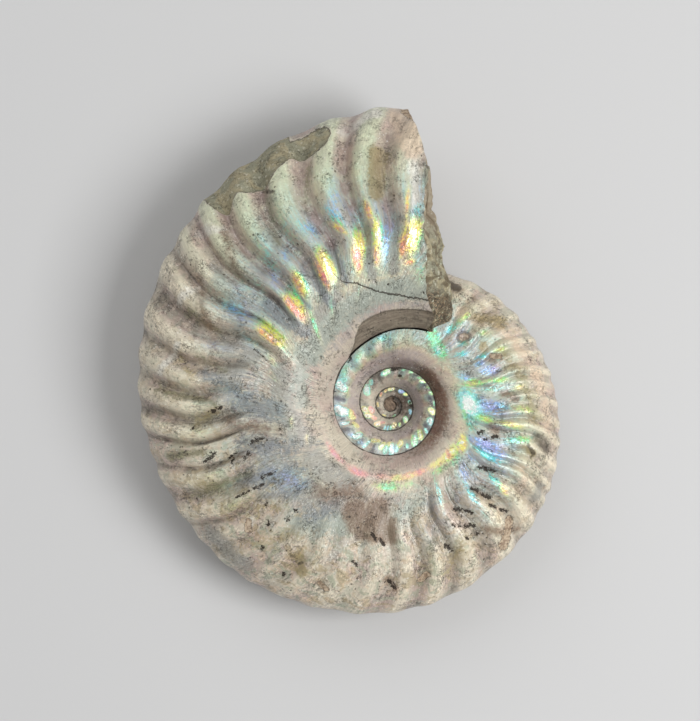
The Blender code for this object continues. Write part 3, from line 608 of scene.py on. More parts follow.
def step_at(fraction):
    """The section step that fraction_at turns into this flank fraction."""
    quarter = np.arcsin(outward_share(fraction) ** (FLANK_POWER / 2)) / (math.pi / 2)
    outer = WIDEST_SECTION_STEP + (1 - WIDEST_SECTION_STEP) * quarter
    inner = WIDEST_SECTION_STEP * fraction / WIDEST_FRACTION
    return np.where(fraction < WIDEST_FRACTION, inner, outer)


def section_point(angle, step):
    """Radius and height on the smooth cross-section at a growth angle and section step."""
    fraction = fraction_at(step)
    height = section_height(fraction, seam_height(angle), half_width(angle))
    return radius_at(angle, fraction), height


def section_normal(angle, step):
    """Outward direction of the smooth cross-section, as its radius and height parts."""
    r0, z0 = section_point(angle, np.clip(step - NORMAL_REACH, 0, 1))
    r1, z1 = section_point(angle, np.clip(step + NORMAL_REACH, 0, 1))
    past_venter = step + NORMAL_REACH > 1
    r1 = np.where(past_venter, r0, r1)
    z1 = np.where(past_venter, -z0, z1)
    length = np.hypot(r1 - r0, z1 - z0)
    return -(z1 - z0) / length, (r1 - r0) / length


def place(angle, radius, height):
    """Turn a growth angle, radius and height into a point of the shell's own frame."""
    turned = np.radians(UPWARD_ANGLE - angle)
    return np.stack([radius * np.cos(turned), radius * np.sin(turned), height], axis=-1)


def skin_point(angle, step, side, relief=0):
    """A point of one flank that some millimetres of relief raise over the smooth section."""
    radius, height = section_point(angle, step)
    out_r, out_z = section_normal(angle, step)
    return place(angle, radius + relief * out_r, side * (height + relief * out_z))


def rib_lean(fraction):
    """Degrees by which a rib's line runs ahead of its crest on the outer flank."""
    middle = RIB_MID_LEAN * np.exp(-(((fraction - RIB_MID_FLANK) / RIB_MID_WIDTH) ** 2))
    outward = np.clip((fraction - RIB_VENTER_START) / (1 - RIB_VENTER_START), 0, 1)
    inward = np.clip(RIB_INNER_END - fraction, 0, 1)
    return middle + RIB_VENTER_LEAN * outward**RIB_VENTER_POWER - RIB_INNER_LEAN * inward


def rib_wave(angle, fraction):
    """Height of the nearest rib from 0 to 1, the side of its crest, -1 behind and 1 ahead, and
    the depth of the valley beside it."""
    at, height, start = np.array(RIBS).T
    along = angle - rib_lean(fraction)
    i = np.clip(np.searchsorted(at, along, side="right") - 1, 0, len(at) - 2)
    share = np.clip((along - at[i]) / (at[i + 1] - at[i]), 0, 1)
    k = np.where(share < 0.5, i, i + 1)
    fade_in = smooth_step(start[k] + RIB_FADE_IN[0], start[k] + RIB_FADE_IN[1], fraction)
    strength = height[k] * fade_in * smooth_step(0, RIB_LINE_START, fraction)
    near = np.cos(share * math.pi) ** 2
    return strength * near, strength * np.sin(share * 2 * math.pi), strength * (1 - near)


def rib_relief(angle, fraction):
    """Height of the ribs over the smooth flank of the last turn."""
    crest, _, valley = rib_wave(angle, fraction)
    at_venter = smooth_step(*VENTER_FADE, fraction)
    groove = curve_through(GROOVE_BY_ANGLE, angle) * valley**2 * (1 - at_venter)
    ridge = crest * (1 - (1 - VENTER_RIB_SHARE) * at_venter)
    return RIB_HEIGHT_TO_RADIUS * venter_radius(angle) * (ridge - groove)


def bend(angle, fraction, side):
    """Growth angle of a mesh point whose column is bent along the ribs, the mouth and the foot."""
    at_mouth = smooth_step(MOUTH_ANGLE - MOUTH_BLEND, MOUTH_ANGLE, angle)
    at_foot = smooth_step(FIRST_ANGLE + FOOT_BLEND, FIRST_ANGLE, angle)
    along_rib = rib_lean(np.maximum(fraction, RIB_INNER_END))
    along_rib = along_rib * smooth_step(RIB_LINE_START, RIB_INNER_END, fraction)
    ragged = np.sin(fraction * RIM_WAVES[0] + 1) * np.sin(fraction * RIM_WAVES[1])
    ragged = RIM_RAGGEDNESS * ragged * smooth_step(*RIM_RAGGED_FROM, fraction)
    ragged = ragged * (1 - RIM_CALM_SHARE * smooth_step(*RIM_CALM_FROM, fraction))
    rim = curve_through(UPPER_RIM if side > 0 else LOWER_RIM, fraction)
    foot = curve_through(STONE_FOOT, fraction) * (fraction > STONE_FOOT[0][0])
    bent = angle + (1 - at_mouth) * (1 - at_foot) * along_rib
    return bent + at_mouth * rim + at_mouth**RIM_SHARPNESS * ragged + at_foot * foot


def chip_field(angle, fraction, side):
    """Millimetres inside the chips at the venter, negative outside them."""
    radius = venter_radius(angle)
    length = flank_length(angle)
    across = (fraction - curve_through(CHIP_LINE, angle)) * length
    along = np.radians(angle - CHIP_LINE[0][0]) * radius
    before_end = np.radians((CHIP_LINE[-1][0] if side > 0 else ROUND_CHIP_END) - angle) * radius
    outer = np.maximum((CHIP_OUTER_EDGE - fraction) * length,
                       np.radians(ROUND_CHIP_END - angle) * radius)
    corner = CHIP_CORNER - np.hypot(CHIP_CORNER - before_end, CHIP_CORNER - outer)
    rounded = (before_end < CHIP_CORNER) & (outer < CHIP_CORNER)
    end = np.where(rounded, corner, np.minimum(before_end, outer))
    return np.clip(np.minimum(np.minimum(across, along), end), -1, 1)


def stroke_lines(angle, fraction, stroke):
    """Millimetres from a stroke's start along the coil and across the flank, of each point and of
    the stroke's end."""
    a0, f0, a1, f1 = stroke[:4]
    radius = radius_at(a0, f0)
    length = flank_length(a0)
    return (np.radians(angle - a0) * radius, (fraction - f0) * length,
            math.radians(a1 - a0) * radius, (f1 - f0) * length)


def stroke_field(angle, fraction, stroke):
    """1 on a stroke's line, 0 at its edge and below 0 outside it."""
    u, v, du, dv = stroke_lines(angle, fraction, stroke)
    along = np.clip((u * du + v * dv) / (du * du + dv * dv), 0, 1)
    return 1 - np.hypot(u - along * du, v - along * dv) / stroke[4]


def leaf_field(angle, fraction, stroke, widening=1):
    """The same with tapered ends and a soft edge, from 1 on the line towards 0 outside it."""
    u, v, du, dv = stroke_lines(angle, fraction, stroke)
    half = stroke[4] * widening
    length = math.hypot(du, dv)
    along = ((u * du + v * dv) / length - 0.5 * length) / (0.45 * length + half)
    across = (v * du - u * dv) / length / half
    return np.exp(-1.6 * (along**2 + across**2))


def block_field(angle, fraction, stroke):
    """A stroke with a firm edge in a soft glow."""
    firm = smooth_step(-0.1, 0.4, stroke_field(angle, fraction, stroke))
    return 0.7 * firm + 0.3 * leaf_field(angle, fraction, stroke, 1.6)


def most(angle, fraction, strokes):
    """The strongest of some strokes at each point, below 0 where there is none near."""
    field = np.full(angle.shape, -1.0)
    for stroke in strokes:
        strength = stroke[5] if len(stroke) > 5 else 1
        value = stroke_field(angle, fraction, stroke)
        field = np.maximum(field, np.where(value > 0, value * strength, value))
    return field


def flash_fields(angle, fraction, flashes, plain_hue, shape=leaf_field):
    """Strength and hue of the nacre's painted flashes, over a plain hue between them."""
    strength = np.zeros(angle.shape)
    hue = plain_hue * PLAIN_WEIGHT
    for stroke in flashes:
        value = (shape(angle, fraction, stroke) * stroke[6]) ** 2
        strength = strength + value
        hue = hue + value * (stroke[5] - (stroke[5] > ROSE_AGAIN))
    return np.sqrt(strength), hue / (PLAIN_WEIGHT + strength)


def band_field(angle, fraction):
    """Millimetres inside the dark band at the foot of the flank near the mouth."""
    return (curve_through(BAND_LINE, angle) - fraction) * flank_length(angle)


def surface_relief(angle, fraction, side, points):
    """Millimetres by which wear, chips, pits and a nodule raise or sink the last turn's skin."""
    relief = layered_noise(points, SKIN_BUMPS)
    bared = smooth_step(*CHIP_EDGE, chip_field(angle, fraction, side))
    depth = CHIP_DEPTH * (1 - CHIP_VENTER_SHARE * smooth_step(*CHIP_VENTER, fraction))
    relief = relief + bared * (layered_noise(points, CHIP_BUMPS) - depth)
    if side > 0:
        knob = stroke_field(angle, fraction, NODULE)
        relief = relief + NODULE_HEIGHT * np.sqrt(np.clip(1 - (1 - knob) ** 2, 0, 1))
        relief = relief - PIT_DEPTH * smooth_step(*PIT_EDGE, most(angle, fraction, PITS))
        relief = relief - SPALL_DEPTH * smooth_step(*SPALL_EDGE, most(angle, fraction, SPALLS))
        relief = relief - BAND_DEPTH * smooth_step(*BAND_EDGE, band_field(angle, fraction))
    return relief


@functools.cache
def last_turn_grid(side):
    """Growth angles, flank fractions and places of the last turn's points on one flank. The
    flanks meet at the venter, where the lower one takes the upper one's points."""
    rows = UPPER_ROWS if side > 0 else LOWER_ROWS
    columns, steps = np.meshgrid(
        np.linspace(FIRST_ANGLE, MOUTH_ANGLE, COLUMNS + 1), np.linspace(0, 1, rows + 1)
    )
    fraction = fraction_at(steps)
    angle = bend(columns, fraction, side)
    smooth = skin_point(angle, steps, side)
    relief = rib_relief(angle, fraction) + surface_relief(angle, fraction, side, smooth)
    points = skin_point(angle, steps, side, relief)
    if side < 0:
        points[-1] = last_turn_grid(1)[2][-1]
    return angle, fraction, points


def shade_by_direction(angle):
    """How dark the painted shade in the umbilicus is by direction, from 0 to 1."""
    return 0.5 + 0.5 * np.cos(np.radians(angle - SHADIEST_ANGLE))


def last_turn_fields(angle, fraction, side):
    """Numbers that steer the nacre's colours on the last turn."""
    shown = side > 0
    none = np.full(angle.shape, -1.0)
    crest, ahead, valley = rib_wave(angle, fraction)
    # the painted sheen's plain hue, shifted along the slopes of the ribs
    plain_hue = curve_through(PLAIN_HUES, fraction) + 0.10 * ahead
    flash, hue = flash_fields(angle, fraction, FLASHES if shown else (), plain_hue)
    knob = stroke_field(angle, fraction, NODULE)
    # the nacre is smooth low on the flank, by the rim's outer end, on the brightest flash and, by
    # half, on the outer flank where the turn starts
    at_rim = smooth_step(355, 359, angle) * smooth_step(0.78, 0.86, fraction)
    calm = np.maximum(smooth_step(0.26, 0.12, fraction), at_rim * shown)
    calm = calm + leaf_field(angle, fraction, BRIGHTEST) * shown
    calm = calm + 0.5 * smooth_step(0.50, 0.70, fraction) * smooth_step(140, 110, angle)
    at_seam = smooth_step(0.16, 0.02, fraction)
    crack_width = CRACK_WIDTH * smooth_step(CRACK_LINE[0][0], CRACK_FULL_ANGLE, angle)
    fields = {
        "crest": crest,
        "ahead": ahead,
        "fraction": fraction,
        "along": angle - rib_lean(np.maximum(fraction, 0.12)),
        # painted flashes and painted sheen
        "flash": flash,
        "hue": hue,
        "sheen": curve_through(SHEEN_BY_FRACTION, fraction) * curve_through(SHEEN_BY_ANGLE, angle),
        "calm": calm,
        # painted shade and dirt in the valleys between the ribs
        "groove": curve_through(GROOVE_BY_ANGLE, angle) * valley**2.5,
        "streaky": curve_through(STREAKS_BY_ANGLE, angle)
        * between(fraction, 0.02, 0.12, 0.42, 0.62),
        "mauve": between(angle, 296, 318, 352, 368) * smooth_step(0.3, 0.5, fraction),
        # painted shade on the wall of the umbilicus
        "wall": curve_through(WALL_SHADE_BY_ANGLE, angle) * smooth_step(0.20, 0.02, fraction),
        # painted shade near the seam, on the umbilicus's shadiest side
        "dim": shade_by_direction(angle) * at_seam * smooth_step(90, 40, angle),
        "worn": curve_through(WORN_BY_ANGLE, angle) * smooth_step(0.22, 0.45, fraction),
        # a dark line of painted shade and dirt along the seam
        "seam": 1 - fraction * flank_length(angle) / (0.6 * SEAM_LINE),
        "band": np.clip(band_field(angle, fraction), -1, 2) if shown else none,
        "pit": most(angle, fraction, PITS) - 0.10 if shown else none,
        "spall": most(angle, fraction, SPALLS if shown else ()),
        "ring": 1 - np.abs(knob) / RING_WIDTH if shown else none,
        "knob": knob if shown else none,
        "chip": chip_field(angle, fraction, side),
        "crack": (fraction - curve_through(CRACK_LINE, angle)) * flank_length(angle),
        "crack_width": crack_width * shown,
    }
    for colour in STAIN_COLOURS:
        fields[colour] = most(angle, fraction, STAINS.get(colour, ()) if shown else ())
    near_mouth = smooth_step(75, 22, angle) * smooth_step(0.30, 0.16, fraction)
    fields["lilac"] = np.maximum(fields["lilac"], 1.2 * near_mouth - 0.7)
    return fields


def inner_turn_grid(side):
    """The same for the turns that show only between their own seam and the next one, with the
    share of what shows in place of the flank fraction."""
    start = FIRST_ANGLE - TURN * INNER_TURNS
    angle, share = np.meshgrid(
        np.linspace(start, FIRST_ANGLE, INNER_COLUMNS * INNER_TURNS + 1),
        np.linspace(0, 1, INNER_ROWS + 1),
    )
    fraction = covered_fraction(angle) * share
    step = step_at(fraction)
    crest, _ = bump_wave(angle, share)
    joined = smooth_step(*JOIN, angle)
    wear = surface_relief(angle, fraction, side, skin_point(angle, step, side))
    bump = BUMP_HEIGHT_TO_RADIUS * venter_radius(angle) * crest
    return angle, share, skin_point(angle, step, side, (1 - joined) * bump + joined * wear)


def bump_wave(angle, share):
    """Height of the bumps from 0 to 1, and the side of their crests."""
    turned = np.radians(angle) * BUMPS_PER_TURN / 2
    band = between(share, *BUMP_RISE, *BUMP_FALL)
    return np.cos(turned) ** 2 * band, -np.sin(2 * turned) * band


def on_flank(strokes):
    """Strokes given by the share of a turn that shows, given by flank fraction."""
    return [(a0, s0 * covered_fraction(a0), a1, s1 * covered_fraction(a1), *rest)
            for a0, s0, a1, s1, *rest in strokes]


def inner_turn_fields(angle, share, side):
    """Numbers that steer the nacre's colours inside the umbilicus."""
    crest, ahead = bump_wave(angle, share)
    covered = covered_fraction(angle)
    fraction = covered * share
    shade_side = shade_by_direction(angle)
    deep = smooth_step(-335, -385, angle)
    plain_hue = curve_through(INNER_HUES, share) + 0.08 * ahead - 0.10 * shade_side
    flash, hue = flash_fields(angle, fraction, on_flank(INNER_FLASHES), plain_hue, block_field)
    glow, glow_hue = flash_fields(angle, fraction, on_flank(INNER_GLOWS), plain_hue)
    # painted shade on the wall, near the seam
    wall = (0.35 + 0.45 * smooth_step(-50, 0, angle)) * smooth_step(0.35, 0, share)
    bright = (1 - 0.8 * deep) * (0.60 + 0.40 * smooth_step(-75, -30, angle))
    shaded = 1 + 0.4 * smooth_step(0.5, 0.9, share) * (angle < -180)
    # a dark line of painted shade and dirt along both seams of a turn
    to_seam = np.minimum(share, 1.6 * (1 - share)) * covered * flank_length(angle)
    # painted shade that darkens the deep turns, most on their shadiest side
    moss = (0.10 + 0.65 * smooth_step(0.30, 0.65, share)) * (0.4 + 0.6 * shade_side) * deep
    none = np.full(angle.shape, -1.0)
    fields = dict.fromkeys(("band", "spall", "ring", "knob", "chip", "crack"), none)
    fields.update(dict.fromkeys(("groove", "mauve", "worn", "crack_width"), none + 1))
    fields.update(dict.fromkeys(STAIN_COLOURS, none))
    fields.update({
        "crest": crest,
        "ahead": ahead,
        "fraction": share * 0.45,
        "along": angle,
        "flash": INNER_FLASH_GAIN * np.maximum(flash, glow),
        "hue": np.where(glow > flash, glow_hue, hue),
        "sheen": curve_through(INNER_SHEEN, share) * bright,
        "calm": none + 2,
        "streaky": none + 1.2,
        # painted shade on the wall, and on the deep turns on their shadiest side
        "wall": wall * (1 - deep) + 0.65 * deep * shade_side,
        # painted shade, darkest on the shadiest side
        "dim": shade_side**1.3 * shaded,
        "seam": 1 - to_seam / SEAM_LINE,
        "pit": most(angle, fraction, PITS),
        "shade": most(angle, share, INNER_GAPS),
        "lilac": 0.50 - deep - smooth_step(0.42, 0.60, share),
        "moss": moss - 0.6 * (1 - deep),
    })
    joined = smooth_step(*JOIN, angle)
    last = last_turn_fields(angle, fraction, side)
    return {key: (1 - joined) * fields[key] + joined * last[key] for key in fields}


def to_world(points):
    """Lay points of the shell's frame down on the floor, in metres."""
    world = (points @ np.array(LYING).T + np.array(COIL_CENTRE)) * MM
    world[..., 2] = np.maximum(world[..., 2], 0)
    return world


def grid_faces(rows, columns, start, flip):
    """Four-cornered faces of a grid of points numbered row by row from start."""
    number = start + np.arange(rows * columns).reshape(rows, columns)
    corners = (number[:-1, :-1], number[:-1, 1:], number[1:, 1:], number[1:, :-1])
    faces = np.stack([c.ravel() for c in corners], axis=-1)
    return faces[:, ::-1] if flip else faces


def add_object(name, data):
    item = bpy.data.objects.new(name, data)
    bpy.context.scene.collection.objects.link(item)
    return item


def make_mesh(name, places, faces, fields, material):
    """A smooth mesh object with a number at each point for every named field."""
    mesh = bpy.data.meshes.new(name)
    mesh.from_pydata(places.reshape(-1, 3).tolist(), [], faces.tolist())
    for key, values in fields.items():
        attribute = mesh.attributes.new(key, "FLOAT", "POINT")
        attribute.data.foreach_set("value", np.ravel(values).astype(np.float32))
    mesh.shade_smooth()
    mesh.materials.append(material)
    return add_object(name, mesh)


def join_flanks(name, grids, material):
    """One mesh from (points, fields, face direction) grids, merged where they meet."""
    faces = []
    start = 0
    for points, _, flip in grids:
        rows, columns = points.shape[:2]
        faces.append(grid_faces(rows, columns, start, flip))
        start += rows * columns
    points = np.concatenate([points.reshape(-1, 3) for points, _, _ in grids])
    fields = {key: np.concatenate([fields[key].ravel() for _, fields, _ in grids])
              for key in grids[0][1]}
    piece = make_mesh(name, to_world(points), np.concatenate(faces), fields, material)
    weld(piece.data)
    return piece


def weld(mesh):
    """Merge points that lie in the same place."""
    solid = bmesh.new()
    solid.from_mesh(mesh)
    bmesh.ops.remove_doubles(solid, verts=solid.verts, dist=WELD * MM)
    solid.to_mesh(mesh)
    solid.free()


def make_turns(name, grid_of, fields_of, material):
    """Turns of the shell on both flanks."""
    grids = []
    for side in (1, -1):
        angle, across, points = grid_of(side)
        grids.append((points, fields_of(angle, across, side), side > 0))
    return join_flanks(name, grids, material)


def make_centre(material):
    """The dark middle of the umbilicus on both flanks."""
    start = FIRST_ANGLE - TURN * INNER_TURNS
    angle, share = np.meshgrid(
        np.linspace(start, start + TURN, CENTRE_COLUMNS + 1),
        np.linspace(CENTRE_START, 1, CENTRE_ROWS + 1),
    )
    radius = CENTRE_RADIUS_TO_SEAM * seam_radius(angle) * share
    height = seam_height(start) * (CENTRE_HEIGHT_TO_SEAM - CENTRE_DOME * share**2)
    height = height + layered_noise(place(angle, radius, height), CENTRE_BUMPS)
    grids = [(place(angle, radius, side * height), {}, side > 0) for side in (1, -1)]
    return join_flanks("centre", grids, material)


def mouth_edges():
    """The mouth's rim, and the line where its stone meets the turn before."""
    _, upper_fraction, upper = last_turn_grid(1)
    _, lower_fraction, lower = last_turn_grid(-1)
    upper_foot = upper[upper_fraction[:, 0] >= STONE_FOOT[0][0], 0]
    lower_foot = lower[lower_fraction[:, 0] >= STONE_FOOT[0][0], 0]
    rim = np.concatenate([upper[:, -1], lower[-2::-1, -1]])
    return rim, np.concatenate([upper_foot, lower_foot[-2::-1]])


def evenly(points, count):
    """Points spaced evenly along a line of points."""
    length = np.concatenate([[0], np.cumsum(np.linalg.norm(np.diff(points, axis=0), axis=1))])
    at = np.linspace(0, length[-1], count)
    return np.stack([np.interp(at, length, points[:, k]) for k in range(3)], axis=-1)


def make_mouth_stone(material):
    """The rough stone that fills the broken mouth."""
    rim, foot = (evenly(line, STONE_COLUMNS) for line in mouth_edges())
    share = np.linspace(0, 1, STONE_ROWS)[:, None]
    points = (1 - share[..., None]) * rim + share[..., None] * foot
    radius = np.hypot(points[..., 0], points[..., 1])
    high = smooth_step(*HIGH_STONE_RADII, radius)
    sound_edge = SOUND_EDGE + SOUND_EDGE_OUTSIDE * smooth_step(*SOUND_EDGE_RADII, radius)
    inside = smooth_step(0, 1, share / sound_edge) * smooth_step(1, SOUND_FOOT, share)
    rough = layered_noise(points, STONE_BUMPS) - STONE_SINK * high
    bulge = np.radians(MOUTH_BULGE_ANGLE) * 4 * share * (1 - share)
    ahead = bulge + inside * rough / radius
    x, y, z = np.moveaxis(points, -1, 0)
    points = np.stack([x * np.cos(ahead) + y * np.sin(ahead),
                       y * np.cos(ahead) - x * np.sin(ahead), z], axis=-1)
    low = smooth_step(*LOW_STONE_RADII, radius + layered_noise(points, LOW_STONE_BUMPS))
    faces = grid_faces(STONE_ROWS, STONE_COLUMNS, 0, True)
    return make_mesh("mouth_stone", to_world(points), faces, {"low": low, "high": high}, material)


def rgb(red, green, blue):
    """A colour given as it looks on a screen, from 0 to 255, for a shader."""
    shown = np.array([red, green, blue]) / 255
    linear = np.where(shown <= 0.04045, shown / 12.92, ((shown + 0.055) / 1.055) ** 2.4)
    return (*linear.tolist(), 1)


class Value:
    """What a node of a material gives, for sums and products with numbers and the like."""

    def __init__(self, shader, socket):
        self.shader = shader
        self.socket = socket

    def __add__(self, other):
        return self.shader.math("ADD", self, other)

    def __sub__(self, other):
        return self.shader.math("SUBTRACT", self, other)

    def __rsub__(self, other):
        return self.shader.math("SUBTRACT", other, self)

    def __mul__(self, other):
        return self.shader.math("MULTIPLY", self, other)

    def __abs__(self):
        return self.shader.math("ABSOLUTE", self)

    __radd__ = __add__


class Shader:
    """A material whose nodes are made by short calls, painted layer by layer."""

    def __init__(self, name):
        self.material = bpy.data.materials.new(name)
        self.material.use_nodes = True
        self.tree = self.material.node_tree
        self.colour = None

    def feed(self, socket, value):
        if isinstance(value, Value):
            self.tree.links.new(value.socket, socket)
        else:
            socket.default_value = value

    def node(self, kind, output, inputs, **settings):
        """What an output of a new node gives, with its inputs fed."""
        node = self.tree.nodes.new("ShaderNode" + kind)
        for key, value in settings.items():
            setattr(node, key, value)
        for key, value in inputs.items():
            self.feed(node.inputs[key], value)
        return Value(self, node.outputs[output])

    def math(self, operation, *values):
        return self.node("Math", 0, dict(enumerate(values)), operation=operation)

    def greatest(self, *values):
        return functools.reduce(functools.partial(self.math, "MAXIMUM"), values)

    def step(self, low, high, value):
        """0 at low, 1 at high, and a smooth rise or fall between them."""
        ends = {"Value": value, "From Min": low, "From Max": high}
        return self.node("MapRange", "Result", ends, interpolation_type="SMOOTHSTEP")

    def mix(self, share, a, b, blend="MIX"):
        return self.node("Mix", 2, {0: share, 6: a, 7: b}, data_type="RGBA", blend_type=blend)

    def lay(self, share, colour, blend="MIX"):
        """Lay a share of a colour over what is there."""
        self.colour = self.mix(share, self.colour, colour, blend)

    def field(self, name):
        return self.node("Attribute", "Fac", {}, attribute_name=name)

    def vector(self, x, y, z=0):
        return self.node("CombineXYZ", 0, {0: x, 1: y, 2: z})

    def places(self):
        return self.node("TexCoord", "Object", {})

    def noise(self, cell, detail, vector=None, roughness=0.55, twist=0):
        """Noise around 0, with cells of some millimetres unless a vector is given."""
        unit = MM if vector is None else 1
        return self.node("TexNoise", "Fac", {
            "Vector": self.places() if vector is None else vector, "Scale": 1 / (cell * unit),
            "Detail": detail, "Roughness": roughness, "Distortion": twist,
        }) - 0.5

    def dots(self, cell):
        """Distance to the nearest of dots scattered some millimetres apart."""
        inputs = {"Vector": self.places(), "Scale": 1 / (cell * MM)}
        return self.node("TexVoronoi", "Distance", inputs)

    def ramp(self, value, stops):
        result = self.node("ValToRGB", "Color", {0: value})
        elements = result.socket.node.color_ramp.elements
        while len(elements) < len(stops):
            elements.new(0.5)
        for element, (at, colour) in zip(elements, stops):
            element.position = at
            element.color = colour
        return result

    def bump(self, depth, height):
        """A normal with the height's relief, its depth in millimetres."""
        inputs = {"Strength": 1, "Distance": depth * MM, "Height": height}
        return self.node("Bump", "Normal", inputs)

    def finish(self, **values):
        """Feed the surface's sockets, whose names have spaces for underscores."""
        surface = self.tree.nodes["Principled BSDF"]
        for name, value in values.items():
            self.feed(surface.inputs[name.replace("_", " ")], value)
        return self.material


# Hues of the nacre's painted sheen and painted flashes, round the circle from rose back to rose
SHEEN_HUES = (
    (0, rgb(206, 160, 156)), (0.10, rgb(214, 186, 156)), (0.20, rgb(212, 206, 158)),
    (0.33, rgb(170, 196, 162)), (0.46, rgb(152, 192, 186)), (0.60, rgb(140, 160, 184)),
    (0.74, rgb(158, 156, 186)), (0.88, rgb(188, 162, 172)), (1, rgb(206, 160, 156)),
)
FLASH_HUES = (
    (0, rgb(245, 84, 96)), (0.10, rgb(250, 140, 70)), (0.20, rgb(250, 226, 60)),
    (0.33, rgb(84, 226, 96)), (0.46, rgb(60, 214, 196)), (0.60, rgb(96, 156, 226)),
    (0.74, rgb(146, 136, 222)), (0.88, rgb(224, 112, 180)), (1, rgb(245, 84, 96)),
)
BEIGE = rgb(210, 200, 180)
PINK_GREY = rgb(192, 172, 160)
GREY_GREEN = rgb(176, 182, 164)
CREAM = rgb(226, 216, 192)
PALE_GREEN = rgb(204, 212, 182)
ROSE_BROWN = rgb(112, 80, 66)
DUSK = rgb(170, 150, 144)
ROSE_GREY = rgb(196, 164, 152)
SLATE = rgb(112, 116, 118)
WORN_OCHRE = rgb(164, 146, 108)
WORN_GREEN = rgb(158, 166, 142)
PEACH = rgb(222, 194, 164)
VALLEY_SHADE = rgb(108, 98, 86)
MAUVE_SHADE = rgb(142, 120, 114)
WHITE = rgb(255, 255, 250)
BAND = rgb(108, 96, 82)
PALE_BAND = rgb(134, 122, 106)
KNOB = rgb(140, 116, 96)
SPALL = rgb(146, 122, 100)
PALE_SPALL = rgb(192, 172, 146)
PIT = rgb(40, 30, 20)
DIRT_AND_SHADE = rgb(52, 44, 34)
STAIN_COLOURS = {
    "lilac": rgb(172, 160, 158),
    "dusk": rgb(144, 143, 136),
    "sage": rgb(160, 168, 156),
    "slate": rgb(116, 120, 124),
    "shade": rgb(104, 102, 110),
    "white": rgb(222, 218, 206),
    "tan": rgb(212, 190, 166),
    "ochre": rgb(148, 132, 90),
    "olive": rgb(112, 108, 78),
    "brown": rgb(124, 100, 80),
    "moss": rgb(72, 64, 50),
}
# The stains that hide the painted valley shade and the painted glints
COVERING = ("tan", "ochre", "olive", "brown", "moss")

OLIVE_STONE = rgb(146, 144, 122)
TAN_STONE = rgb(168, 158, 128)
DARK_GRAIN = rgb(104, 98, 74)
PALE_GRAIN = rgb(206, 202, 182)
RUST = rgb(92, 78, 56)
HIGH_STONE = rgb(166, 150, 130)
LOW_STONE = rgb(62, 50, 38)
VEIN = rgb(186, 160, 128)
SPARK = rgb(226, 228, 206)
HEART = rgb(92, 76, 62)
PALE_HEART = rgb(136, 116, 96)


